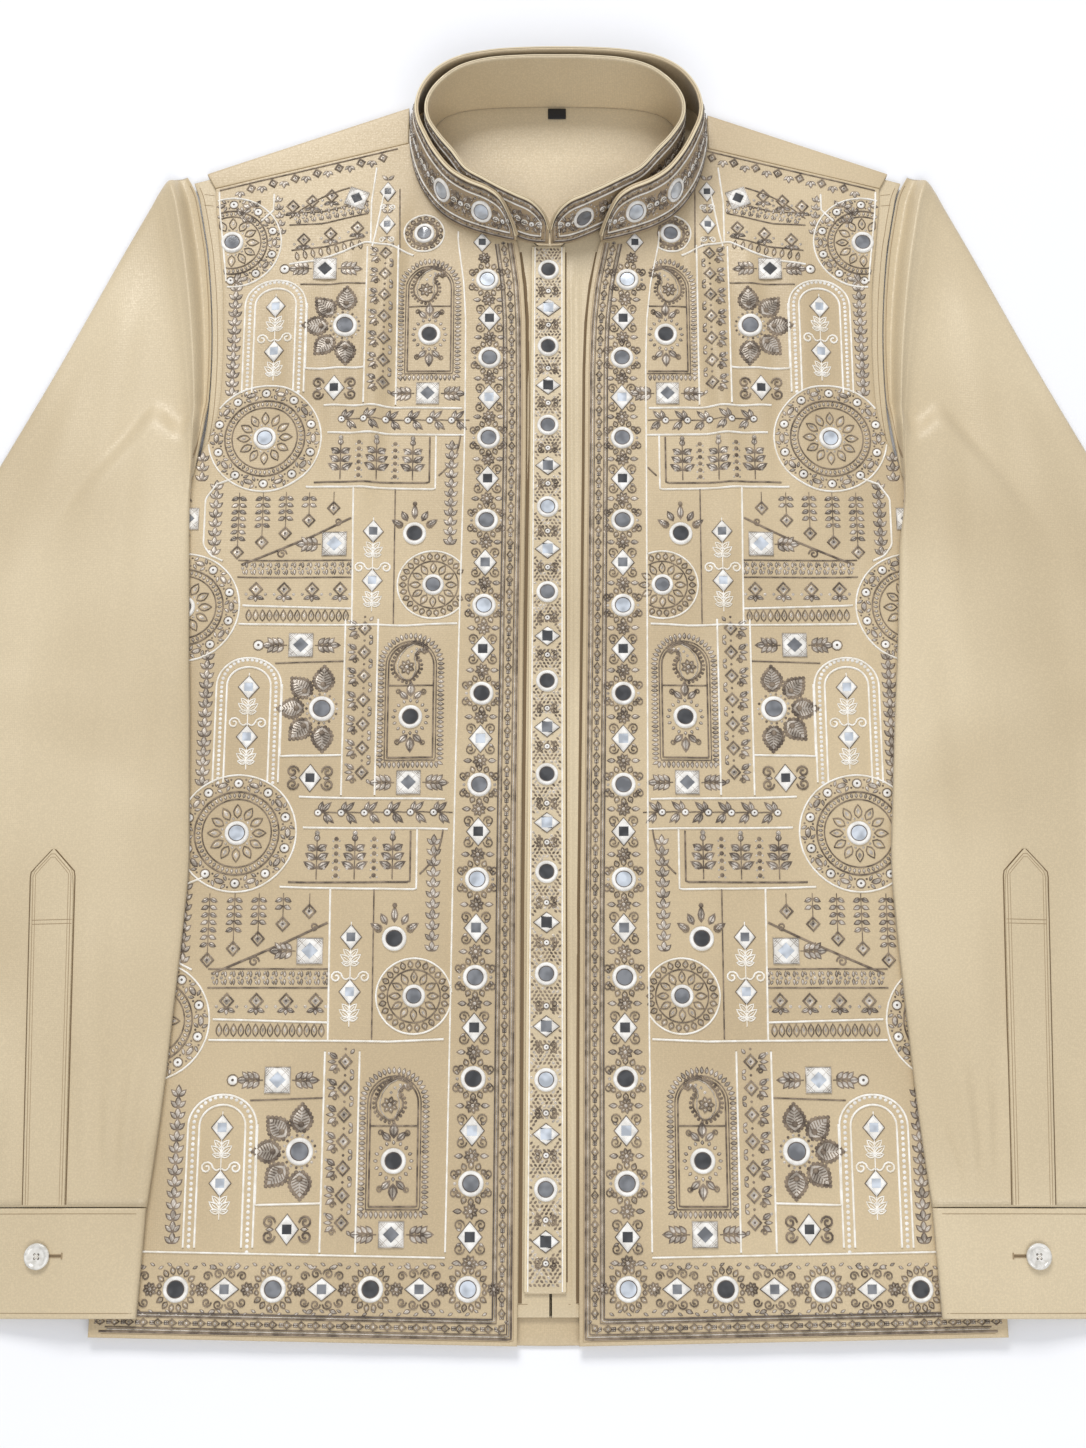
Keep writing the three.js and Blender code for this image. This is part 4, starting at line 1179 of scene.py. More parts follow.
class Panel:
    """One front: knows its outline, and lays whole lines on it and cuts them off at its edges."""

    def __init__(self, work, side):
        self.work, self.side = work, side
        self.whole = Spot(0, 0, flip=side)

    def inside(self, x, y, margin=1.2):
        out = x * self.side
        if out > side_x(y) - margin or y < hem_y(x) + margin:
            return False
        if CUFF_BOTTOM - 1 < y < 126 and out > sleeve_edge(self.side, y) + 5:
            return False
        if out - self.side * NECK_X > 98.5:
            return y < seam_y(out) - margin
        if y < 291:
            return out > self.side * edge_x(self.side, y) + margin
        neck = np.interp(out - self.side * NECK_X, [p[0] for p in NECKLINE], [p[1] for p in NECKLINE])
        return y < neck - margin

    def run(self, layer, spot, flat, width, height, lift=0.0, step=2.6, field=True):
        line = spot.at(flat)
        length = np.linalg.norm(np.diff(line, axis=0), axis=1).sum()
        line = resampled(line, max(2, int(length / step) + 1))
        keep = []
        for x, y in line:
            good = self.inside(x, y) and (not field or abs(x) > cord_a(self.side, y) - 0.5)
            if good:
                keep.append((x, y))
            if keep and (not good):
                self.lay(layer, keep, width, height, lift)
                keep = []
        self.lay(layer, keep, width, height, lift)

    def lay(self, layer, line, width, height, lift):
        if len(line) > 1:
            self.work.line(layer, line, width, height, lift=lift)

    def cord(self, spot, flat):
        self.run("cord", spot, flat, 1.3, 0.9)

    def dark(self, spot, flat, width=0.9):
        self.run("thread", spot, flat, width, 0.6)

    def clear(self, spot, reach=3.0):
        """True where a motif of this reach has room."""
        field = abs(spot.x) > cord_a(self.side, spot.y) + reach * 0.5
        return field and self.inside(spot.x, spot.y, reach)


def cord_a(side, y):
    """Distance from the middle to the white cord beside the mirror column."""
    down = np.clip((COLUMN_TOP - y) / (COLUMN_PITCH * (COLUMN_COUNT - 1)), -0.05, 1)
    return side * edge_x(side, y) + lerp(39.5, 43.0, down)


HEM_CORD = 49.0


def edge_rail(side, inset, top=292.0):
    """A line that keeps its distance from the front edge, then turns and keeps it from the hem."""
    ys = np.arange(top - inset * 0.1, HEM_Y + inset, -6.0)
    down = [(edge_x(side, y) + side * inset, y) for y in ys]
    corner_x = edge_x(side, HEM_Y) + side * inset
    reach = 262.0
    outs = np.arange(abs(corner_x), reach, 6.0)
    along_hem = [(side * out, float(hem_y(out)) + inset) for out in outs]
    return np.array(down + along_hem)


def border_lines(panel):
    side = panel.side
    for layer, inset, width, height in (
        ("piping", 1.1, 2.0, 0.9), ("stitch", 2.4, 0.4, 0.12), ("thread", 3.7, 1.3, 0.7),
        ("silver", 5.0, 0.9, 0.5), ("thread", 6.2, 0.8, 0.7), ("thread", 12.4, 0.8, 0.7),
        ("silver", 13.4, 0.8, 0.5), ("dark", 14.6, 1.0, 0.8),
    ):
        panel.run(layer, PLAIN, edge_rail(side, inset), width, height, step=3.0, field=False)


def lozenge(work, spot):
    """One link of the chain in the border: an outlined lozenge round a silver bead, and a twist after it."""
    work.line("thread", spot.at([(0, 2.7), (1.9, 0), (0, -2.7), (-1.9, 0)]), 1.0, 0.8, closed=True)
    bead(work, spot, 1.0, "silver", 6)
    bead(work, spot.inner(0, 4.15), 0.8, "dark", 5)
    for s, w in CORNERS:
        leaf(work, spot.inner(s * 1.2, w * 3.6, math.pi / 2 + s * 0.5), 2.2, 1.0, rib=False)


def border_chain(panel):
    rail = edge_rail(panel.side, 9.2, top=288.0)
    length = np.linalg.norm(np.diff(rail, axis=0), axis=1).sum()
    places = resampled(rail, int(length / 8.3))
    turns = np.gradient(places, axis=0)
    for (x, y), (dx, dy) in zip(places, turns):
        if panel.inside(x, y):
            turn = math.atan2(dy, dx) + math.pi / 2
            lozenge(panel.work, Spot(x, y, turn))


def mirror_petals(work, spot):
    """Loops above and below a round mirror, and curls at its sides."""
    for end in (-1, 1):
        for k, long in zip(range(-2, 3), (2.852, 4.14, 4.6, 4.14, 2.852)):
            turn = end * math.pi / 2 + k * 0.42
            loop(work, spot.inner(8.5 * math.cos(turn), 8.5 * math.sin(turn), turn), long, 3.1)
        for s in (-1, 1):
            beside = Spot(spot.x + s * 7.4, spot.y + end * 5.8, 0, s)
            curl(work, beside, 2.9, width=0.85, rise=0.7, stretch=(0.95, -end))
            leaf(work, Spot(spot.x + s * 8.6, spot.y + end * 2.4, end * 0.7, s), 3.0, 1.6, rib=False)
    for s in (-1, 1):
        bead(work, Spot(spot.x + s * 9.6, spot.y), 1.1, "silver", 6)


def star(work, spot, r=4.0):
    flower(work, spot, 8, 1.2, r, 2.0, 0.2)
    bead(work, spot, 1.4)
    bead(work, spot, 0.6, "dark", 5)


def four_curls(work, spot):
    for sx, sy in CORNERS:
        beside = Spot(spot.x + sx * 3.1, spot.y + sy * 6.8, 0, sx)
        curl(work, beside, 3.3, width=0.85, rise=0.75, stretch=(1, sy))
        leaf(work, Spot(spot.x + sx * 5.0, spot.y + sy * 3.4, sy * 0.5, sx), 3.4, 1.6, rib=False)


def column_unit(panel, i):
    """Round mirror, star, diamond mirror, star: one pitch of the border."""
    work, side = panel.work, panel.side
    y, pitch = column_y(i), column_y(i) - column_y(i + 1)
    glass = ("glass_painted_pale_reflection", "glass_painted_grey_reflection", "glass_painted_grey_reflection", "glass_painted_grey_reflection", "glass_painted_pale_reflection", "glass_painted_dark_reflection", "glass_painted_grey_reflection",
             "glass_painted_pale_reflection", "glass_painted_grey_reflection", "glass_painted_dark_reflection", "glass_painted_grey_reflection")[i % 11]
    spot = Spot(column_x(side, y), y)
    round_mirror(work, spot, glass=glass)
    mirror_petals(work, spot)
    for share in (0.26, 0.74):
        down = y - pitch * share
        star(work, Spot(column_x(side, down), down), 4.5)
        for sx in (-1, 1):
            leaf(work, Spot(column_x(side, down) + sx * 4.6, down, 0, sx), 5.2, 2.6, rib=False)
    half = y - pitch / 2
    between = Spot(column_x(side, half), half)
    diamond_mirror(work, between, ("glass_painted_dark_reflection", "glass_painted_grey_reflection", "glass_painted_dark_reflection", "glass_painted_pale_reflection")[(i * 3) % 4])
    four_curls(work, between)


def column_y(i):
    return COLUMN_TOP - i * COLUMN_PITCH + COLUMN_BOW * math.sin(math.pi * i / (COLUMN_COUNT - 1))


def mirror_column(panel):
    for i in range(COLUMN_COUNT - 1):
        column_unit(panel, i)
    star(panel.work, Spot(column_x(panel.side, 281), 280.5))
    top = Spot(column_x(panel.side, 292), 292.0)
    diamond_mirror(panel.work, top, "glass_painted_dark_reflection", 5.6, 6.8)


def hem_row(panel):
    side, work = panel.side, panel.work
    for i in range(HEM_ROW_COUNT):
        out = HEM_ROW_X + i * HEM_ROW_PITCH
        spot = Spot(side * out, HEM_ROW_Y)
        round_mirror(work, spot, glass=("glass_painted_pale_reflection", "glass_painted_dark_reflection", "glass_painted_grey_reflection", "glass_painted_dark_reflection")[i])
        for petal in around(spot, 8.6, 16, math.pi / 16):
            loop(work, petal, 4.4 if abs(math.sin(petal.turn)) > 0.5 else 2.6, 2.8)
        for sx in (-1, 1):
            star(work, Spot(side * (out + sx * HEM_ROW_PITCH * 0.265), HEM_ROW_Y), 3.9)
        between = Spot(side * (out + HEM_ROW_PITCH / 2), HEM_ROW_Y, math.pi / 2)
        if i < HEM_ROW_COUNT - 1:
            diamond_mirror(work, between, "glass_painted_grey_reflection", 6.4, 8.2)
        for sx, sy in CORNERS:
            for x, y, r in ((0.6, 8.6, 3.0), (7.4, 7.4, 2.8)):
                beside = Spot(between.x + sx * x, HEM_ROW_Y + sy * y, 0, sx)
                curl(work, beside, r, width=1.0, rise=0.7, stretch=(1, sy))
            leaf(work, Spot(between.x + sx * 4.5, HEM_ROW_Y + sy * 11.6, sy * 0.4, sx), 4.6, 2.2, rib=False)
    for y in (HEM_ROW_Y - 13.2, HEM_ROW_Y + 13.2):
        for k in range(44):
            x = side * (edge_rail_start(side) + 5.0 * k)
            if panel.inside(x, y) and abs(x) < sleeve_edge(side, y) + 4:
                leaf(work, Spot(x, y, 0.5 if k % 2 else -0.5, side), 3.2, 1.4, rib=False)


def edge_rail_start(side):
    return side * edge_x(side, HEM_Y) + 17.5


# Motifs of the field

def spray(work, spot):
    """A stalk with pairs of leaves and a leaf at its tip."""
    length = 15.5
    work.line("thread", spot.at([(0, 0), (length * 0.5, 0.3), (length * 0.75, 0)]), 0.6, 0.45)
    leaf(work, spot.inner(length * 0.55, 0), length * 0.45, 3.584)
    for k in range(3):
        for s in (-1, 1):
            leaf(work, spot.inner(length * (0.12 + 0.2 * k), 0, s * 0.85), 6.048, 2.688, rib=False)


def small_diamond(work, spot, r):
    outline = np.array([(r, 0), (0, r * 1.1), (-r, 0), (0, -r * 1.1)])
    work.line("thread", spot.at(outline), 1.5, 0.8, closed=True)
    work.peak("silver", spot.at(outline * 0.62), 0.9)
    work.peak("dark", spot.at(circle(r * 0.2, 6)), 0.4, lift=0.75)
    side = r * 0.82 * math.sqrt(0.5)
    for x, y in ((side, side), (-side, side), (-side, -side), (side, -side)):
        bead(work, spot.inner(x, y), 0.55, "silver", 5)


def bud(work, spot, size=1.0):
    """A bud between two leaves."""
    leaf(work, spot, 4.8 * size, 2.3 * size, rib=False)
    for s in (-1, 1):
        leaf(work, spot.inner(0, 0, s * 0.8), 4.2 * size, 1.8 * size, rib=False)


def stations(panel, spot, start, end, pitch, lean=0.0, reach=2.0):
    """Spots with room for a motif, evenly along a line and turned with it. A lean of None is upright."""
    start, end = np.array(start, float), np.array(end, float)
    way = end - start
    count = max(2, int(np.hypot(*way) / pitch) + 1)
    turn = 0.0 if lean is None else math.atan2(way[1], way[0]) + lean
    for k in range(count):
        place = spot.inner(*lerp(start, end, k / (count - 1)), turn)
        if panel.clear(place, reach):
            yield place


def buds_along(panel, spot, start, end, size=1.3, pitch=6.2):
    for place in stations(panel, spot, start, end, pitch):
        bud(panel.work, place, size)


def loops_along(panel, spot, start, end, pitch, length, width):
    """A row of loops that stand across the line."""
    for place in stations(panel, spot, start, end, pitch, -math.pi / 2):
        loop(panel.work, place.inner(-length / 2, 0), length, width)


def cross_band(panel, spot, start, end, pitch=5.0):
    """Bars of thread with a bead between each two."""
    for place in stations(panel, spot, start, end, pitch):
        bead(panel.work, place, 1.15, "silver", 6)
        for s in (-1, 1):
            leaf(panel.work, place.inner(pitch / 2, 0, s * math.pi / 2), 4.0, 1.5, rib=False)
            leaf(panel.work, place.inner(0, s * 1.4, s * 1.1), 2.8, 1.2, rib=False)


def ring(panel, spot, r, layer, width, height):
    for k in range(4):
        piece = circle(r, 11, start=k * math.pi / 2, sweep=math.pi / 2)
        panel.run(layer, spot, piece, width, height, step=2.2)


def medallion(panel, spot, outer, glass):
    """Rings of cord, beads, sequins and loops round a mirror."""
    work = panel.work
    ring(panel, spot, outer, "cord", 1.15, 0.85)
    inner = outer * 0.71
    ring(panel, spot, inner, "thread", 1.1, 0.7)
    ring(panel, spot, inner * 0.82, "thread", 0.9, 0.6)
    count = int(inner * 0.91 * 2 * math.pi / 2.9)
    for place in around(spot, inner * 0.845, count):
        if panel.clear(place, 1.0):
            leaf(work, place, inner * 0.115, 1.5, rib=False)
    middle = (outer + inner) / 2
    count = 10
    for k in range(count):
        turn = 2 * math.pi * (k + 0.5) / count
        place = spot.inner(middle * math.cos(turn), middle * math.sin(turn), turn + math.pi / 2)
        if panel.clear(place, 3.0):
            sequin(work, place, 2.8)
        for step in (-1, 1):
            near = turn + step * math.pi / count * 0.62
            lean = near + step * math.pi / 2
            leaf_spot = spot.inner(middle * math.cos(near), middle * math.sin(near), lean)
            if panel.clear(leaf_spot, 2.5):
                leaf(work, leaf_spot, 5.6, 2.8, rib=False)
                for s in (-1, 1):
                    leaf(work, leaf_spot.inner(-0.6, s * 0.8, s * 0.95), 4.0, 1.7, rib=False)
                    bead(work, leaf_spot.inner(-2.0, s * 2.6), 0.8, "thread", 5)
    if panel.clear(spot, 7.0):
        round_mirror(work, spot, glass=glass)
    petals = 12
    for k in range(petals):
        turn = 2 * math.pi * k / petals
        place = spot.inner(9.6 * math.cos(turn), 9.6 * math.sin(turn), turn)
        if panel.clear(place, 4.0):
            loop(work, place, min(8.6, inner * 0.8 - 10.4), 4.8)
            bead(work, spot.inner(9.4 * math.cos(turn + 0.26), 9.4 * math.sin(turn + 0.26)), 0.9, "silver", 6)


def arch_path(half, top, low, squash):
    """Up one side, over the round top and down the other side."""
    middle = top - half * 0.9
    round_top = circle(half, 19, sweep=math.pi) * [1, squash] + [0, middle]
    return np.concatenate([[(half, low)], round_top, [(-half, low)]])


def arch(panel, spot, low):
    """A niche of two cords with beads between, and a stem with two mirrors in it."""
    work = panel.work
    for half, top in ((20.5, -8.5), (13.8, -14.5)):
        panel.cord(spot, arch_path(half, top, low, 0.9))
    path = resampled(arch_path(17.2, -11.4, low, 1.0), 62)
    for x, y in path:
        place = spot.inner(x, y)
        if panel.clear(place, 1.0):
            bead(work, place, 1.15, "ring", 7)
    stem(panel, spot.inner(0, -28), 32.5, "glass_painted_pale_reflection")


def stem(panel, spot, gap, upper):
    """Two diamond mirrors on a cord stalk, a leaf spray under each and a pair of curls between."""
    if not panel.clear(spot, 6.0):
        return
    work = panel.work
    for high, low in ((6, 9.5), (-6, -gap + 6), (-gap - 6, -gap - 21)):
        work.line("cord", spot.at([(0, high), (0, low)]), 0.7, 0.5)
    for place, glass in ((spot, upper), (spot.inner(0, -gap), "glass_painted_pale_reflection")):
        diamond_mirror(work, Spot(place.x, place.y), glass, 6.3, 7.6)
        for s in (-1, 1):
            for y, turn, long, wide in (
                (-15.5, 0.9, 6.6, 2.4), (-12.0, 0.75, 5.4, 2.2), (-16.8, 1.35, 4.6, 1.9),
            ):
                leaf(work, place.inner(0, y, math.pi / 2 - s * turn), long, wide, "cord")
    for s in (-1, 1):
        curl(work, spot.inner(s * 4.6, -gap + 9.0), 3.9, "cord", 1.15, 0.8, (s, 1))
        work.line("cord", spot.at(arc_line(s * 4.6, -gap + 9.0, s * 0.5, -gap + 8.6, s * 1.2, 6)), 1.0, 0.7)


def half_flower(panel, spot):
    """Five broad leaves on one side of a mirror, edged with small lobes, and a ring of beads round it."""
    work = panel.work
    if not panel.clear(spot, 5.0):
        return
    round_mirror(work, spot, 8.2, "glass_painted_grey_reflection")
    for k in range(18):
        turn = 2 * math.pi * k / 18
        layer = "silver" if k % 2 else "thread"
        bead(work, spot.inner(9.6 * math.cos(turn), 9.6 * math.sin(turn)), 0.95, layer, 6)
    for k in range(5):
        turn = math.radians(-92 + 46 * k)
        place = spot.inner(10.8 * math.cos(turn), 10.8 * math.sin(turn), turn)
        if not panel.clear(place, 3.0):
            continue
        broad_leaf(work, place, 17.0, 12.5)


def broad_leaf(work, spot, length, width):
    """A leaf filled with rows of paler stitches, with lobes along its edge and a sequin near its base."""
    outline = leaf_outline(length, width, 7)
    work.dome("silver", spot.at(outline), 0.6, crown=0.8)
    work.line("thread", spot.at(outline * [0.9, 0.84] + [length * 0.05, 0]), 0.7, 0.7, closed=True)
    edge = resampled(np.vstack([outline, outline[:1]]), 19)
    for x, y in edge[1:-1]:
        lobe = spot.inner(x, y)
        bead(work, lobe, 1.45, "thread", 6)
        bead(work, spot.inner(lerp(length * 0.45, x, 0.84), y * 0.82), 0.75, "silver", 5)
    for k in range(6):
        share = 0.34 + 0.1 * k
        half = width * 0.36 * math.sin(math.pi * share ** 0.85)
        for s in (-1, 1):
            line = [(length * (share - 0.1), s * half * 0.12), (length * share, s * half)]
            work.line("thread", spot.at(line), 0.65, 0.35, lift=0.5)
    bead(work, spot.inner(length * 0.3, 0), 2.2, "thread", 8)
    bead(work, spot.inner(length * 0.3, 0), 1.7, "silver", 8)
    bead(work, spot.inner(length * 0.62, 0), 0.9, "silver", 6)


def leaf_column(panel, spot, first, last, pitch=15.7):
    """Small diamonds one below the other, each with a curl and leaves beside it."""
    w = first
    while w > last:
        place = spot.inner(0, w)
        if panel.clear(place, 5.0):
            small_diamond(panel.work, place.inner(-2.0, 0), 3.8)
            leaf(panel.work, place.inner(2.5, 1.6, 0.6), 6.0, 2.9)
            leaf(panel.work, place.inner(2.5, -1.6, -0.6), 5.8, 2.8, rib=False)
            leaf(panel.work, place.inner(3.2, 0), 5.0, 2.0, rib=False)
            leaf(panel.work, place.inner(-5.0, 4.4, 2.2), 3.6, 1.9, rib=False)
            leaf(panel.work, place.inner(-5.0, -4.4, -2.2), 3.6, 1.9, rib=False)
            curl(panel.work, place.inner(1.5, -5.4), 2.1, width=0.9)
            bead(panel.work, place.inner(8.0, 5.0), 1.0, "silver", 6)
            bead(panel.work, place.inner(-2.0, 7.6), 0.9, "thread", 6)
        w -= pitch


def drop_outline(wide=1.0):
    """An ordinary paisley drop: a round bowl that narrows and bends over to one side."""
    spine = resampled(
        [(0, -9), (0.8, -5), (1.4, 0), (1.1, 5), (-0.8, 9.2), (-4.2, 11.8), (-8.0, 11.0), (-9.6, 8)], 29)
    shares, halves = (0, 0.06, 0.2, 0.34, 0.5, 0.68, 0.86, 1), (1.0, 4.2, 7.4, 7.7, 5.8, 3.7, 2.4, 0.4)
    half = np.interp(np.linspace(0, 1, 29), shares, halves) * wide
    way = np.gradient(spine, axis=0)
    way = way / np.linalg.norm(way, axis=1)[:, None]
    across = np.column_stack([-way[:, 1], way[:, 0]]) * half[:, None]
    return np.concatenate([spine + across, (spine - across)[::-1]])


def paisley(panel, spot, size=1.0):
    """A paisley drop with lobes round it, a second line inside and a flower in its bowl."""
    place = spot.inner(0, 0, 0, size)
    work = panel.work
    if not panel.clear(place, 8.0):
        return
    outline = drop_outline()
    work.line("thread", place.at(outline), 1.2, 0.9, closed=True)
    work.line("silver", place.at(drop_outline(0.72)), 0.7, 0.5, closed=True)
    rim = resampled(np.vstack([outline, outline[:1]]), 34)
    middle = np.array([0.8, 0.0])
    for x, y in rim[:-1]:
        out = np.array([x, y]) - middle
        out = out / max(1e-6, np.hypot(*out))
        bead(work, place.inner(x + out[0] * 1.5, y + out[1] * 1.5), 1.05, "thread", 6)
    flower(work, place.inner(1.2, -0.6), 7, 1.3, 4.6, 2.2)
    bead(work, place.inner(1.2, -0.6), 1.3)
    for x, y in ((0.6, 6.4), (-1.6, 9.0), (-4.6, 10.6), (-7.4, 10.4)):
        bead(work, place.inner(x, y), 1.0, "silver", 6)


def fringe(panel, spot, path):
    """Short looped stitches side by side across a line."""
    path = np.asarray(path, float)
    long = np.linalg.norm(np.diff(path, axis=0), axis=1).sum()
    places = resampled(path, int(long / 2.9) + 1)
    ways = np.gradient(places, axis=0)
    for (x, y), (dx, dy) in zip(places, ways):
        place = spot.inner(x, y, math.atan2(dy, dx) - math.pi / 2)
        if panel.clear(place, 1.0):
            leaf(panel.work, place.inner(-2.1, 0), 4.2, 1.9, rib=False)


def niche(half, low, shoulder):
    """Closed outline with a round top."""
    crown = circle(half, 17, sweep=math.pi) + [0, shoulder]
    return np.concatenate([[(half, low)], crown, [(-half, low), (half, low)]])


def framed_flower(panel, spot, glass):
    """Mirror with four sprays in a fringed frame."""
    work = panel.work
    if panel.clear(spot, 5.0):
        round_mirror(work, spot, glass=glass)
        for place in around(spot, 9.2, 16):
            leaf(work, place, 2.6, 1.6, rib=False)
        for s in (-1, 1):
            base = spot.inner(0, s * 10.8, s * math.pi / 2)
            leaf(work, base.inner(2.0, 0), 9.2, 4.4)
            for w in (-1, 1):
                leaf(work, base.inner(0.5, w * 1.5, w * 0.8), 7.4, 3.4)
                curl(work, base.inner(4.0, w * 7.0, w * 0.5), 2.0)
    for half, low, width in ((14.3, -26.5, 1.1), (16.0, -28.2, 0.8)):
        panel.dark(spot, niche(half, low, 34.0), width)
    fringe(panel, spot, niche(18.6, -30.8, 34.5))
    panel.dark(spot, [(14.3, 20.5), (-14.3, 20.5)])


def square_leaves(panel, spot, glass, inner=True, half=7.4):
    """Square mirror with sprays to either side."""
    if not panel.clear(spot, 6.0):
        return
    square_mirror(panel.work, spot, glass, half)
    spray(panel.work, spot.inner(8.8, 0))
    if inner:
        spray(panel.work, spot.inner(-8.8, 0, math.pi))


def scroll_diamond(panel, spot, glass):
    if not panel.clear(spot, 6.0):
        return
    work = panel.work
    diamond_mirror(work, Spot(spot.x, spot.y), glass, 6.6, 8.6)
    for s in (-1, 1):
        for w in (-1, 1):
            beside = spot.inner(s * 7.0, w * 4.0, 0 if s > 0 else math.pi)
            curl(work, beside, 3.9, width=1.35, rise=0.9, stretch=(1, w * s))
        leaf(work, spot.inner(s * 7.6, 0, 0 if s > 0 else math.pi), 4.5, 2.0, rib=False)


def vine(panel, spot, start, end, pitch=14.4):
    """Sequins along a stalk with three leaves springing from each."""
    count = int(abs(end - start) / pitch) + 1
    work = panel.work
    for k in range(count):
        place = spot.inner(min(start, end) + k * pitch + 4, 0)
        if panel.clear(place, 4.0):
            sequin(work, place, 2.2)
            for turn, back, long in (
                (2.35, -1.6, 8.4), (1.85, -0.8, 6.6), (-2.35, -3.4, 8.4), (-1.85, -4.2, 6.6),
            ):
                leaf(work, place.inner(back, 0, turn), long, 2.9)
            work.line("thread", place.at([(-2.4, 0), (-7.0, 0.3), (-11.8, 0)]), 0.7, 0.5)


def tree(panel, spot, height):
    work = panel.work
    if not panel.clear(spot, 4.0) or not panel.clear(spot.inner(0, height), 1.0):
        return
    work.line("thread", spot.at([(0, 0), (0, height * 0.8)]), 0.8, 0.6)
    bead(work, spot.inner(0, height), 1.7, "silver")
    leaf(work, spot.inner(0, height * 0.8, math.pi / 2), 5.0, 3.0)
    for k in range(3):
        rise = height * (0.22 + 0.2 * k)
        for s in (-1, 1):
            leaf(work, spot.inner(0, rise, math.pi / 2 - s * 1.05), 8.2 - k * 0.9, 3.7)
            bead(work, spot.inner(s * 4.6, rise + 0.6), 1.15, "silver", 6)


def bead_stalk(panel, spot, height):
    for k in range(int(height / 4.6)):
        place = spot.inner(0, 4.6 * (k + 0.5))
        if panel.clear(place, 2.0):
            bead(panel.work, place, 1.5, "thread", 7)
            for s in (-1, 1):
                bead(panel.work, place.inner(s * 1.9, -1.2), 0.8, "silver", 5)


def hanging_vine(panel, spot, length):
    """Pairs of leaves down a stalk, with a small diamond at its end."""
    work = panel.work
    if not panel.clear(spot, 3.0) or not panel.clear(spot.inner(0, -length), 3.0):
        return
    work.line("thread", spot.at([(0, 0), (0, -length * 0.5), (0, -length)]), 0.6, 0.45)
    count = int((length - 7) / 4.6)
    for k in range(count):
        for s in (-1, 1):
            leaf(work, spot.inner(0, -3.0 - 4.6 * k, -math.pi / 2 + s * 1.15), 4.9, 2.5, rib=k % 2 == 0)
    small_diamond(work, spot.inner(0, -length), 3.8)


def crown_mirror(panel, spot, glass):
    if not panel.clear(spot, 6.0):
        return
    work = panel.work
    round_mirror(work, spot, 7.6, glass)
    for k in range(5):
        turn = math.pi / 2 + (k - 2) * 0.5
        place = spot.inner(9.4 * math.cos(turn), 9.4 * math.sin(turn), turn)
        leaf(work, place, 9.5 if k == 2 else 7.2, 3.4)
    bead(work, spot.inner(0, 20.5), 1.6, "thread")
    for s in (-1, 1):
        ring_spot = spot.inner(s * 9.8, 6.2)
        work.line("thread", ring_spot.at(circle(2.2, 9)), 0.9, 0.7, closed=True)
        bead(work, ring_spot, 0.9)


def diamond_row(panel, spot, start, end, pitch=14.5):
    for place in stations(panel, spot, start, end, pitch, None, 3.5):
        small_diamond(panel.work, place, 4.0)
        for s in (-1, 1):
            leaf(panel.work, place.inner(0, -4.6, -math.pi / 2 + s * 1.2), 5.2, 2.4)
            bead(panel.work, place.inner(s * 6.2, -3.4), 1.1, "silver", 6)
        leaf(panel.work, place.inner(0, -4.6, -math.pi / 2), 3.6, 2.0, rib=False)


def field_top(panel, spot, k):
    """Upper half of a repeat: its square mirror, half flower, niche, and paisley over a framed flower."""
    tones = (("glass_painted_dark_reflection", "glass_painted_dark_reflection"), ("glass_painted_grey_reflection", "glass_painted_dark_reflection"), ("glass_painted_pale_reflection", "glass_painted_dark_reflection"))[k]
    low = -98 if k < 2 else -108
    square_leaves(panel, spot, tones[0])
    if panel.clear(spot.inner(27, 0), 3.0):
        sequin(panel.work, spot.inner(27, 0), 3.2)
    panel.dark(spot, [(16, -12), (-28, -10.5)])
    panel.cord(spot, [(-28, 17), (-28, low)])
    panel.cord(spot, [(-49, 17), (-49, low)])
    leaf_column(panel, spot.inner(-38.5, 0), 11.0, low + 3)
    half_flower(panel, spot.inner(-14.5, -42))
    panel.cord(spot, [(11, -26), (11, -73), (-28, -72)])
    scroll_diamond(panel, spot.inner(-8.5, -87), "glass_painted_dark_reflection")
    arch(panel, spot.inner(32, 0), low + 8)
    buds_along(panel, spot, (59.0, low + 6), (59.0, -10), 1.35)
    paisley(panel, spot.inner(-69, -14), 1.05)
    framed_flower(panel, spot.inner(-70.5, -47.5), tones[1])
    square_leaves(panel, spot.inner(-70, -90), "glass_painted_grey_reflection", half=7.2)


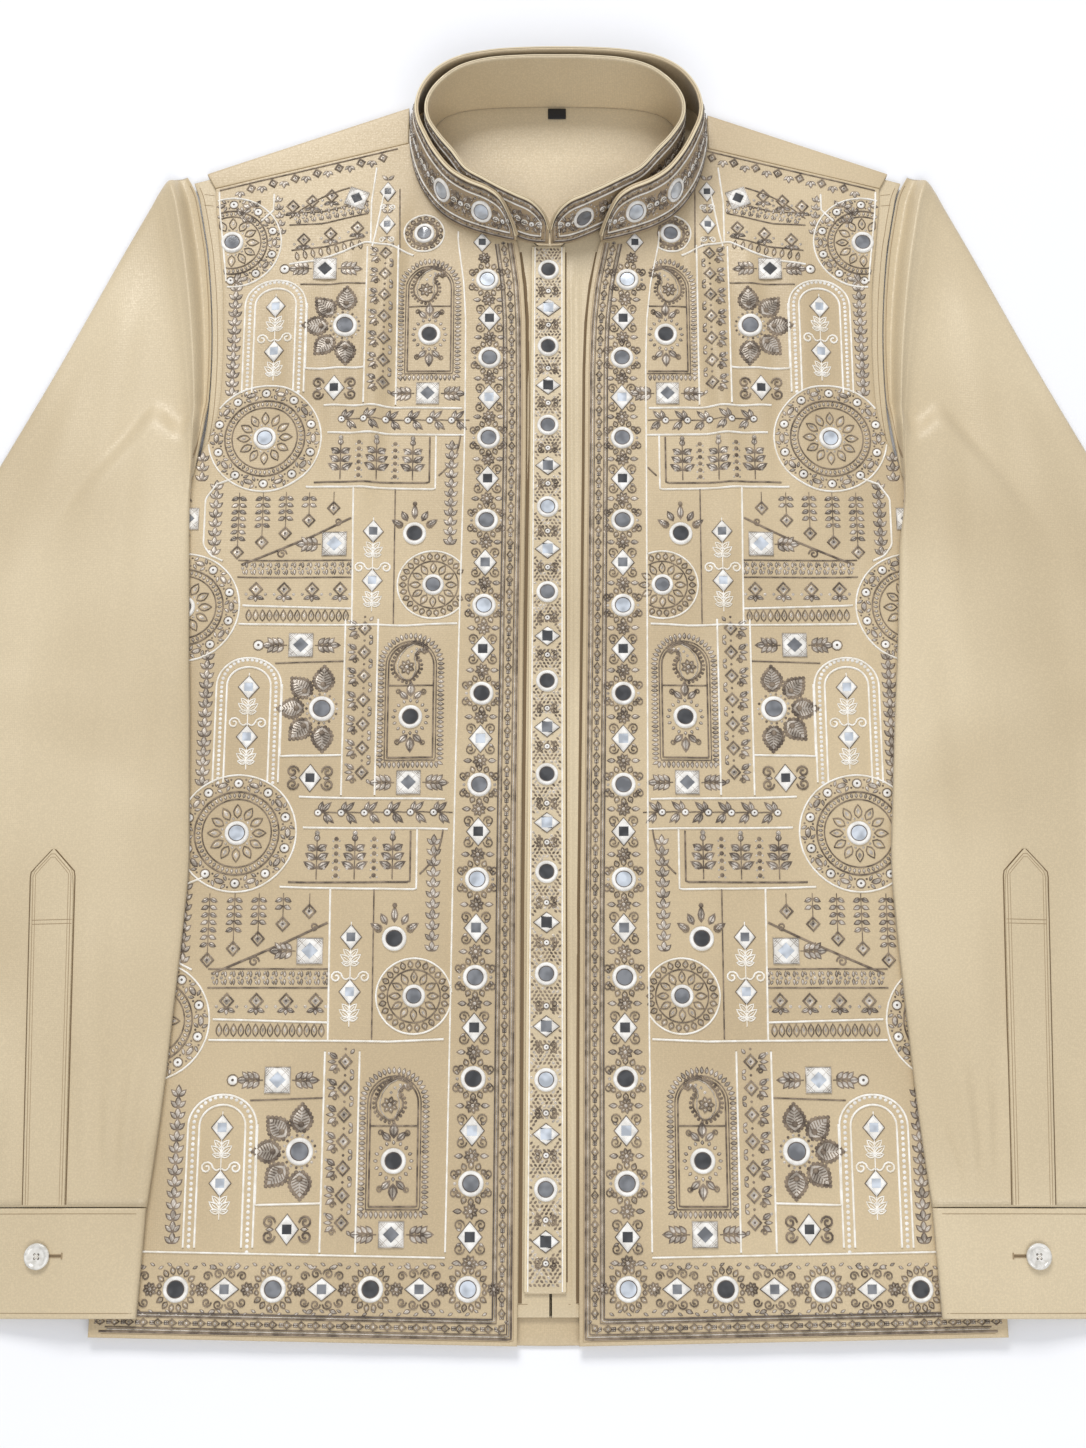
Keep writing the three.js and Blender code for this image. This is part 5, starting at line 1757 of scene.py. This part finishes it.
def field_bottom(panel, spot):
    """Lower half of a repeat: vine, trees, rounds, hanging vines and bands."""
    work = panel.work
    panel.cord(spot, [(-2, -99), (-50, -100), (-93, -100.5)])
    vine(panel, spot.inner(0, -109), -90, -6)
    panel.cord(spot, [(-5, -118.5), (-50, -119), (-95, -119.5)])
    for x in (-14, -37.5, -61):
        tree(panel, spot.inner(x, -151), 29.0)
    for x in (-26, -49.5):
        bead_stalk(panel, spot.inner(x, -151), 28.0)
    panel.dark(spot, [(3, -153), (-72, -153), (-72, -121)], 1.2)
    panel.cord(spot, [(8, -156), (-76, -157.5), (-76, -120)])
    panel.dark(spot, arc_line(-78, -148, -92, -120, 3.5), 1.1)
    buds_along(panel, spot, (-86, -196), (-86.5, -130))
    medallion(panel, spot.inner(36, -122), 37, "glass_painted_pale_reflection")
    buds_along(panel, spot, (76, -152), (76, -104))
    panel.cord(spot, [(-23, -157), (-24, -250)])
    for x, long in ((51, 41), (35.5, 34), (20.5, 28), (5.5, 19), (-10.5, 11)):
        hanging_vine(panel, spot.inner(x, -160), long)
    panel.dark(spot, [(48, -209.5), (6, -191.5), (-22, -178)], 1.5)
    square_leaves(panel, spot.inner(-11.5, -195.5), "glass_painted_pale_reflection", inner=False, half=7.6)
    if panel.clear(spot.inner(18, -201), 3.0):
        curl(work, spot.inner(19, -202), 3.4, width=1.2)
        curl(work, spot.inner(-12, -182.5, 2.2), 2.6, width=1.1)
    for w in (-206.5, -218):
        panel.dark(spot, [(50, w), (-23, w)])
    cross_band(panel, spot, (47, -212), (-20, -212))
    diamond_row(panel, spot, (38, -226), (-16, -226))
    panel.cord(spot, [(46, -237), (-24, -239)])
    loops_along(panel, spot, (42, -243.5), (-20, -243.8), 4.4, 7.6, 3.4)
    panel.cord(spot, [(48, -249.5), (-30, -250), (-60, -250.5), (-94, -249)])
    stem(panel, spot.inner(-36.5, -187), 33.5, "glass_painted_grey_reflection")
    panel.dark(spot, [(-50, -157), (-50.5, -249)])
    crown_mirror(panel, spot.inner(-63, -188), "glass_painted_dark_reflection")
    medallion_small(panel, spot.inner(-75.5, -223), 23)
    medallion(panel, spot.inner(84, -238), 36, "glass_painted_grey_reflection")
    buds_along(panel, spot, (66, -203), (66, -158))
    panel.cord(spot, [(60, -207), (68, -203), (73, -196), (73, -164), (66, -154), (56, -150)])
    if panel.clear(spot.inner(84, -178), 3.0):
        square_mirror(work, spot.inner(84, -178), "glass_painted_grey_reflection", 7.0)
        curl(work, spot.inner(82, -190), 2.8, width=1.1)
        curl(work, spot.inner(82, -166), 2.8, width=1.1)


def medallion_small(panel, spot, outer):
    work = panel.work
    ring(panel, spot, outer, "cord", 1.15, 0.85)
    ring(panel, spot, outer * 0.7, "thread", 0.9, 0.6)
    count = int(outer * 1.15)
    for place in around(spot, outer * 0.75, count):
        if panel.clear(place, 2.0):
            loop(work, place, outer * 0.19, 3.2)
    if panel.clear(spot, 5.0):
        round_mirror(work, spot, 7.0, "glass_painted_grey_reflection")
        flower(work, spot, 12, 8.0, outer * 0.66, 3.9)


def shoulder_part(panel):
    """The strip between the first repeat and the shoulder seam, which slants with the seam."""
    work = panel.work
    spot = panel.whole.inner(146, FIELD_TOP)
    medallion(panel, panel.whole.inner(212, 292), 33, "glass_painted_grey_reflection")
    edge_ys = np.arange(335, 262, -4.0)
    panel.cord(PLAIN, [(panel.side * (side_x(y) - 2.6), y) for y in edge_ys])
    top_xs = np.arange(222, 101, -6.0)
    panel.run("thread", PLAIN, [(panel.side * x, seam_y(x) - 2.2) for x in top_xs], 0.9, 0.6)
    for k, x in enumerate(np.arange(112, 214, 7.4)):
        place = Spot(panel.side * x, seam_y(x) - 6.4, -0.26, panel.side)
        if not panel.clear(place, 2.0):
            continue
        if k % 2:
            bud(work, Spot(place.x, place.y, -math.pi / 2, panel.side), 1.05)
        else:
            small_diamond(work, place, 2.7)
    panel.cord(spot, [(39, 56), (39, 44), (47, 36)])
    for x, y in ((52, 46), (60, 40), (56, 34)):
        leaf(work, spot.inner(x, y, 0.9), 6.0, 3.0)
        leaf(work, spot.inner(x, y, 2.2), 6.0, 3.0)
        bead(work, spot.inner(x, y - 1.5), 1.4)
    buds_along(panel, spot, (33, 26), (36, 50), 1.0, 6.0)
    panel.cord(spot, [(27, 3.5), (10, 6), (-10, 13), (-24, 21), (-40, 17), (-56, 11)])
    loops_along(panel, spot, (22, 9.5), (-20, 18.5), 4.8, 6.5, 2.6)
    panel.dark(spot, [(26, 14), (4, 16.5), (-22, 24)])
    diamond_row(panel, spot, (18, 22), (-18, 31), 13.0)
    for shift in (0.0, 9.0):
        panel.dark(spot, [(28, 33 + shift), (6, 34 + shift), (-25, 42 + shift)])
    cross_band(panel, spot, (24, 37.6), (-22, 46.0), 4.8)
    diamond_row(panel, spot, (26, 47), (0, 55), 13.5)
    panel.dark(spot, arc_line(28, 38, -12, 61, -3.0))
    if panel.clear(spot.inner(-17, 53), 5.0):
        square_mirror(work, spot.inner(-17, 53, 0.35), "glass_painted_dark_reflection", 6.4)
    panel.cord(spot, [(-30, 76), (-27, 50), (-27, 20)])
    panel.cord(spot, [(-28, 17), (-30, 26), (-36, 60)])
    for w, tone in ((58, "glass_painted_dark_reflection"), (33, "glass_painted_grey_reflection")):
        place = spot.inner(-38, w)
        if panel.clear(place, 3.0):
            diamond_mirror(work, Spot(place.x, place.y), tone, 5.2, 7.2)
            for s in (-1, 1):
                curl(work, place.inner(s * 1.0, -11.5, 0 if s > 0 else math.pi), 2.3, "cord", 0.9)
                leaf(work, place.inner(0, -9.0, -math.pi / 2 + s * 0.8), 5.0, 2.0, rib=False)
                leaf(work, place.inner(0, 8.6, math.pi / 2 + s * 0.8), 5.0, 2.2, rib=False)
    panel.dark(spot, [(-46, 60), (-47, 12)])
    medallion_small(panel, spot.inner(-63, 27), 13.5)


def dress_front(side):
    work = Work(FlatSurface(front_height))
    panel = Panel(work, side)
    border_lines(panel)
    border_chain(panel)
    mirror_column(panel)
    hem_row(panel)
    ys = np.arange(300, HEM_Y + HEM_CORD, -5.0)
    panel.run("cord", PLAIN, [(side * cord_a(side, y), y) for y in ys], 1.15, 0.85, field=False)
    outs = np.arange(cord_a(side, HEM_Y + HEM_CORD), 262, 5.0)
    along_hem = [(side * out, hem_y(out) + HEM_CORD) for out in outs]
    panel.run("cord", PLAIN, along_hem, 1.15, 0.85, field=False)
    field = Panel(work, side)
    field.inside = lambda x, y, margin=1.2: (
        Panel.inside(field, x, y, margin) and y > float(hem_y(x)) + HEM_CORD + margin * 0.8
    )
    shoulder_part(field)
    for k, (out, y) in enumerate(FIELD_PLACES):
        field_top(field, field.whole.inner(out, y), k)
        if k < len(FIELD_PLACES) - 1:
            field_bottom(field, field.whole.inner(out, y))
    work.objects(f"front_{WORD[side]}")


# Kurta placket: slab, mirrors, and small stitches that fill the ground between them

PLACKET_TOP_Z = 6.5
PLACKET_RAILS = [(-14.1, 10.5, -388.6), (-10.4, 11.8, 289.6)]


def placket_x(y, share):
    (left0, right0, y0), (left1, right1, y1) = PLACKET_RAILS
    t = (y - y0) / (y1 - y0)
    return lerp(lerp(left0, left1, t), lerp(right0, right1, t), share)


def placket():
    """The slab of the placket."""
    ys = np.linspace(PLACKET_RAILS[0][2], PLACKET_RAILS[1][2], 60)
    inner = np.column_stack([placket_x(ys, 0), ys])
    outer = np.column_stack([placket_x(ys, 1), ys])
    flat = between_rails(inner, outer, 150, 26)
    cloth_slab(
        "button_band", flat, level(PLACKET_TOP_Z), level(4.92), KURTA, "kurta_cloth", "kurta_placket",
    )


def placket_y(i):
    return PLACKET_TOP - i * PLACKET_PITCH + PLACKET_BOW * math.sin(math.pi * min(i, 10) / 10)


def dress_placket():
    work = Work(FlatSurface(level(PLACKET_TOP_Z)))
    ys = np.arange(288.5, -388, -4.0)
    for share, shift in ((0, 1.3), (1, -1.3)):
        edge = placket_x(ys, share)
        work.line("piping", np.column_stack([edge + shift * 0.5, ys]), 1.3, 0.7)
        work.line("cord", np.column_stack([edge + shift * 1.6, ys]), 1.0, 0.75)
    mirrors = []
    for i in range(PLACKET_COUNT):
        y, pitch = placket_y(i), placket_y(i) - placket_y(i + 1)
        x = lerp(0.6, -1.6, i / PLACKET_COUNT)
        tone = ("glass_painted_dark_reflection", "glass_painted_dark_reflection", "glass_painted_grey_reflection", "glass_painted_pale_reflection", "glass_painted_grey_reflection", "glass_painted_dark_reflection")[i % 6]
        round_mirror(work, Spot(x, y), 7.1, tone)
        mirrors.append((x, y, 8.2, 8.2))
        low = y - pitch / 2
        if low > -384:
            diamond_mirror(work, Spot(x, low), ("glass_painted_pale_reflection", "glass_painted_dark_reflection", "glass_painted_grey_reflection")[i % 3], 7.8, 6.2)
            mirrors.append((x, low, 8.6, 8.5))
            for s in (-1, 1):
                sequin(work, Spot(x, low + s * 12.4), 1.9)
                for t, up in CORNERS:
                    beside = Spot(x + t * 2.6, low + s * 12.4 + up * 1.2, 0, t)
                    curl(work, beside, 2.1, width=0.75, stretch=(1, up))
                mirrors.append((x, low + s * 12.4, 2.4, 2.4))
    fill_ground(work, mirrors)
    work.objects("button_band")


def fill_ground(work, mirrors):
    """Short slanting stitches in rows, which turn about from one diamond of ground to the next."""
    rows = int((288 + 386) / 2.15)
    for i in range(rows):
        y = 287 - i * 2.15
        left, right = placket_x(y, 0) + 3.6, placket_x(y, 1) - 3.6
        for j in range(7):
            x = lerp(left, right, (j + 0.5 * (i % 2)) / 6.5)
            if any(abs(x - mx) / a + abs(y - my) / b < 1.0 if a < b else math.hypot(x - mx, y - my) < a
                   for mx, my, a, b in mirrors):
                continue
            slope = 0.8 if (int(y // 7.5) + int((x + 40) // 7.0)) % 2 else -0.8
            layer = "thread" if noise(i * 7 + j) < 0.7 else "silver"
            work.peak(layer, Spot(x, y, slope).at(leaf_outline(2.7, 1.6, 2) - [1.3, 0]), 0.6)


# Collars

MOTIF_PITCH = 15.0


def frame_path(face, inset):
    """Round the collar's face at one distance from its edges."""
    us = np.arange(0, face.length, 2.0)
    tall = face.height_at(us)
    inside = (tall > inset * 2 + 2.5) & (us > inset) & (us < face.length - inset)
    us, tall = us[inside], tall[inside]
    low = np.column_stack([us, np.full_like(us, inset)])
    high = np.column_stack([us, tall - inset])[::-1]
    return np.concatenate([low, high])


def dress_collar(face, prefix, glass, places):
    """Piping, frames, ground and motifs of a collar. The places are where its mirrors lie, as x and y."""
    work = Work(face)
    mirror_places = [face.nearest(x, y) for x, y in places]
    us = np.linspace(0.4, face.length - 0.4, 200)
    work.line("piping", np.column_stack([us, face.height_at(us) - 0.5]), 1.7, 0.9, lift=-0.15)
    for layer, inset, width, height in (
        ("dark", 2.4, 0.7, 0.6), ("silver", 3.5, 0.7, 0.5), ("thread", 6.3, 0.7, 0.6),
        ("cord", 7.6, 0.9, 0.7),
    ):
        work.line(layer, frame_path(face, inset), width, height, closed=True)
    beads = frame_path(face, 5.0)
    steps = int(np.linalg.norm(np.diff(beads, axis=0), axis=1).sum() / 2.1)
    for i, (x, y) in enumerate(resampled(beads, steps)):
        layer, slope = ("silver" if i % 3 else "ring", 0.7) if i % 2 else ("thread", -0.7)
        work.peak(layer, Spot(x, y, slope).at(leaf_outline(1.9, 1.2, 2)), 0.6)
    fill_collar(work, face, mirror_places)
    count = int(face.length / MOTIF_PITCH)
    for k in range(count + 1):
        u = face.length * k / count
        tall = float(face.height_at(u))
        if tall < 25 or any(abs(u - place) < MOTIF_PITCH * 0.6 for place in mirror_places):
            continue
        collar_motif(work, Spot(u, tall / 2))
    for u in mirror_places:
        oval_mirror(work, Spot(u, float(face.height_at(u)) / 2), glass)
    work.objects(prefix)


def fill_collar(work, face, mirror_places):
    """Rows of small slanting stitches that darken the collar's ground."""
    for i, u in enumerate(np.arange(3.0, face.length - 3.0, 2.3)):
        tall = float(face.height_at(u))
        for j, v in enumerate(np.arange(10.6, tall - 10.4, 2.1)):
            if any(math.hypot((u - m) / 8.6, (v - tall / 2) / 10.2) < 1 for m in mirror_places):
                continue
            if noise(i * 9 + j * 4) < 0.25:
                continue
            layer = "thread" if noise(i * 5 + j * 3) < 0.6 else "silver"
            slope = 0.8 if (i + j) % 2 else -0.8
            work.peak(layer, Spot(u, v, slope).at(leaf_outline(2.1, 1.1, 2) - [1.0, 0]), 0.4)


def collar_motif(work, spot):
    sequin(work, spot, 2.2)
    for s in (-1, 1):
        leaf(work, spot.inner(s * 2.6, 0, 0 if s > 0 else math.pi), 5.6, 3.0)
        curl(work, Spot(spot.x + s * 3.0, spot.y, 0, s), 2.4, "cord", 0.7)
        for w in (-1, 1):
            leaf(work, spot.inner(s * 1.4, w * 1.6, w * (math.pi / 2 - s * 0.5)), 5.4, 2.6)
            curl(work, Spot(spot.x + s * 4.2, spot.y + w * 4.4, 0, s), 2.1, width=1.0)


def oval_mirror(work, spot, glass):
    half_u, half_v = 7.4, 7.8
    ringed_glass(work, spot, circle(1, 28) * [half_u, half_v], glass, (
        ((1, 0.96, 0.86, 0.76, 0.7), (0, 1.0, 1.4, 1.2, 0.7)),
        ((0.73, 0.66), (0.85, 0.7)),
        ((0.7, 0.4, 0.02), (0.65, 0.7, 0.72)),
    ))
    for k in range(20):
        turn = 2 * math.pi * k / 20
        x, y = (half_u + 1.0) * math.cos(turn), (half_v + 1.0) * math.sin(turn)
        leaf(work, spot.inner(x, y, turn), 2.0, 1.4, rib=False)


# Stitching and small parts of the kurta

def shoulder_stitches(side, obj):
    work = Work(DroppedSurface(obj))
    seam = resampled(along(ARMHOLE, 101), 90)
    inward = np.column_stack([side * (seam[:, 0] - 4.2), seam[:, 1]])[2:-4]
    work.line("stitch", inward, 0.5, 0.15)
    for y in (321, 329):
        work.line("stitch", [(side * 226, y - 0.3), (side * 229.5, y), (side * 232.5, y + 0.3)], 0.5, 0.15)
    work.objects(f"seam_{WORD[side]}")


FLAP_SHIFT = 11  # how much nearer the body the right sleeve's placket lies


def placket_shape(side, inset=0.0):
    """Outline of the pointed sleeve placket, from its lower inner corner round its tip."""
    shift = 0 if side < 0 else FLAP_SHIFT
    corners = [(284.4 + inset, -338.0), (291.2 + inset, -139 - inset * 0.3), (305, -124 - inset * 1.3),
               (318.6 - inset, -139 - inset * 0.3), (309.8 - inset, -338.0)]
    return np.array([(side * (x - shift), y) for x, y in corners])


def sleeve_stitches(side, arm, wrist, flap):
    word = WORD[side]
    on_arm = Work(DroppedSurface(arm))
    # A painted shadow round the sleeve placket's edge, where it lies on the sleeve.
    on_arm.line("shadow", resampled(placket_shape(side, -0.55), 120), 0.8, 0.1)
    seam = resampled(along(ARMHOLE, 101), 90)
    beside = np.column_stack([side * (seam[:, 0] + 1.6), seam[:, 1]])[3:-3]
    on_arm.line("stitch", beside, 0.5, 0.12)
    on_arm.objects(f"arm_stitch_{word}")
    on_flap = Work(DroppedSurface(flap))
    on_flap.line("stitch", resampled(placket_shape(side, 1.6), 120), 0.45, 0.15)
    on_flap.line("stitch", resampled(placket_shape(side, 3.2), 120), 0.35, 0.12)
    shift = 0 if side < 0 else FLAP_SHIFT
    for y in (-168.5, -171.0):
        ends = [(side * (290.6 - shift), y), (side * (303 - shift), y), (side * (315.6 - shift), y)]
        on_flap.line("stitch", resampled(ends, 9), 0.45, 0.15)
    on_flap.objects(f"flap_{word}")
    on_wrist = Work(DroppedSurface(wrist))
    inner = 238.0 - float(tuck(side, np.array(-345.0))) * 1.04
    for y in (-343.2, -399.4):
        outs = np.linspace(inner + 4, 348, 40)
        on_wrist.line("stitch", np.column_stack([side * outs, np.full(40, y)]), 0.45, 0.15)
    buttonhole(on_wrist, side)
    on_wrist.objects(f"wrist_{word}")


def buttonhole(work, side):
    start = (299 if side < 0 else 286.5) - 6.8
    xs = np.array([start, start - 3.5, start - 7.5]) * side
    y = -367.2
    # The middle line is painted shade in the buttonhole's slit, between its two rows of stitches.
    for layer, shift, width, height in (
        ("stitch", -0.7, 0.8, 0.35), ("stitch", 0.7, 0.8, 0.35), ("shadow", 0, 0.6, 0.2),
    ):
        work.line(layer, resampled(np.column_stack([xs, np.full(3, y + shift)]), 8), width, height)
    end = side * (start - 7.8)
    work.line("stitch", [(end, y + 1.8), (end, y), (end, y - 1.8)], 1.0, 0.4)


BUTTON_RADIUS, BUTTON_THICK = 7.65, 2.6


def button(side):
    """Cuff button: a rounded rim round a dish, with four holes painted on as dark discs, sewn on with a cross
    of thread.
    """
    word = WORD[side]
    low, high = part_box(f"cuff_button_{word}")
    middle = Vector([(a + b) / 2 for a, b in zip(low, high)])
    tilt = side * math.atan(SLEEVE_ON_BODY / 50)
    r, t = BUTTON_RADIUS, BUTTON_THICK
    profile = [(0.02, 0), (r - 1.0, 0), (r - 0.35, 0.25), (r, 0.8), (r, t - 0.9), (r - 0.25, t - 0.35),
               (r - 0.8, t), (r - 1.5, t), (r - 2.0, t - 0.25), (r - 2.5, t - 0.7), (r - 3.2, t - 0.85),
               (0.02, t - 0.85)]
    n = 56
    shape = bmesh.new()
    rings = [
        [shape.verts.new((x, y, height - t / 2)) for x, y in circle(radius, n)] for radius, height in profile
    ]
    for low_ring, high_ring in zip(rings, rings[1:]):
        for k in range(n):
            shape.faces.new((low_ring[k], low_ring[(k + 1) % n], high_ring[(k + 1) % n], high_ring[k]))
    bmesh.ops.remove_doubles(shape, verts=shape.verts, dist=0.05)
    bmesh.ops.recalc_face_normals(shape, faces=shape.faces)
    mesh = bpy.data.meshes.new(f"button_{word}")
    shape.to_mesh(mesh)
    shape.free()
    points = np.array([vertex.co for vertex in mesh.vertices])
    turned = points.copy()
    turned[:, 0] = points[:, 0] * math.cos(tilt) + points[:, 2] * math.sin(tilt)
    turned[:, 2] = -points[:, 0] * math.sin(tilt) + points[:, 2] * math.cos(tilt)
    for vertex, place in zip(mesh.vertices, turned):
        vertex.co = Vector(place) * MM + middle
    obj = finished(linked(f"button_{word}", mesh), PEARL, "pearl_button", f"cuff_button_{word}")
    sew_on(obj, middle, word)


def sew_on(obj, middle, word):
    work = Work(DroppedSurface(obj))
    x, y = middle.x / MM, middle.y / MM
    # The four holes are painted: small discs of dark thread colour for the shade inside each hole.
    for k in range(4):
        turn = math.pi / 4 + k * math.pi / 2
        work.peak("dark", Spot(x + 1.6 * math.cos(turn), y + 1.6 * math.sin(turn)).at(circle(0.75, 10)), 0.06)
    for sx in (-1, 1):
        ends = [(x - 1.1, y - sx * 1.1), (x, y), (x + 1.1, y + sx * 1.1)]
        work.line("cord", resampled(ends, 5), 0.6, 0.45, lift=0.1)
    work.objects(f"button_thread_{word}")


def gap_shading(breasts):
    """Painted shadow: the dark line under each front edge of the jacket, and beside the placket."""
    ys = np.arange(286, -398, -4.0)
    work = Work(DroppedSurface(breasts[-1]))
    work.line("shadow", np.column_stack([edge_x(-1, ys) + 1.4, ys]), 2.2, 0.12)
    work.objects("gap_left")
    work = Work(DroppedSurface(breasts[1]))
    work.line("shadow", np.column_stack([edge_x(1, ys) - 1.0, ys]), 1.8, 0.12)
    beside = ys[ys > -386]
    work.line("shadow", np.column_stack([placket_x(beside, 1) + 0.6, beside]), 0.9, 0.1)
    work.objects("gap_right")


def kurta_hem_stitches():
    for side, word in WORD.items():
        work = Work(FlatSurface(level(KURTA_TOP - 0.08)))
        outs = np.linspace(12, 19 if side < 0 else 24, 6)
        work.line("stitch", np.column_stack([side * outs, np.full(6, -394.5)]), 0.45, 0.2)
        work.objects(f"kurta_hem_{word}")


# Cloth: the cut of each piece, in metres. A sleeve or cuff is given all round.

CUTS = [  # piece, width, length, area of the cut, what it lies on
    ("back", 0.536, 0.827, 0.400, ()), ("kurta_inside", 0.516, 0.803, 0.382, ("back",)),
    ("kurta_breast_left", 0.262, 0.786, 0.186, ("kurta_inside",)),
    ("kurta_breast_right", 0.262, 0.786, 0.184, ("kurta_inside",)),
    ("front_left", 0.262, 0.790, 0.178, ("kurta_breast_left",)),
    ("front_right", 0.262, 0.790, 0.174, ("kurta_breast_right",)),
    ("arm_left", 0.400, 0.660, 0.190, ("front_left",)), ("arm_right", 0.410, 0.660, 0.196, ("front_right",)),
    ("wristband_left", 0.232, 0.063, None, ("arm_left",)),
    ("wristband_right", 0.252, 0.063, None, ("arm_right",)),
    ("flap_left", 0.027, 0.212, None, ("arm_left",)), ("flap_right", 0.027, 0.212, None, ("arm_right",)),
    ("shoulder_left", 0.148, 0.041, 0.005, ("front_left",)),
    ("shoulder_right", 0.134, 0.041, 0.0046, ("front_right",)),
    ("button_band", 0.025, 0.678, None, ("kurta_breast_right",)),
    ("collar", 0.455, 0.040, None, ("back",)), ("kurta_band", 0.448, 0.040, None, ("kurta_inside",)),
]


LEAST_FLAT = 0.0101


def declare_cloth():
    for name, width, length, area, under in CUTS:
        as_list(under)
    low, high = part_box("neck_label")
    size = sorted((high[k] - low[k] for k in range(3)), reverse=True)
    flat = (max(LEAST_FLAT, size[0]), max(LEAST_FLAT, size[1]))


# All pieces, in order

backs()
for side in WORD:
    jacket_front(side)
breasts = {side: kurta_front(side) for side in WORD}
arms = {side: sleeve(side) for side in WORD}
wrists = {side: cuff(side) for side in WORD}
jacket_face = standing_collar(
    "collar", JACKET_COLLAR, lambda y: NECK_X + 0 * y, 2.0, JACKET, "jacket_cloth", "jacket_collar", 0)
kurta_face = standing_collar(
    "kurta_band", KURTA_COLLAR, kurta_centre, 1.8, KURTA, "kurta_cloth", "kurta_collar", 1)
placket()
dress_placket()
for side in WORD:
    dress_front(side)
dress_collar(jacket_face, "collar", "glass_painted_pale_reflection", [(-72, 322), (-44, 306), (87, 322), (60, 306)])
dress_collar(kurta_face, "kurta_band", "glass_painted_grey_reflection", [(24, 303)])
for side, word in WORD.items():
    dressed_copy(f"shoulder_{word}", f"jacket_yoke_{word}", JACKET, "jacket_cloth")
    flap = dressed_copy(f"flap_{word}", f"sleeve_placket_{word}", KURTA, "kurta_cloth")
    sleeve_stitches(side, arms[side], wrists[side], flap)
    shoulder_stitches(side, breasts[side])
    button(side)
kurta_hem_stitches()
gap_shading(breasts)
dressed_copy("neck_tag", "neck_label", LABEL, "label_cloth", levels=1)
declare_cloth()
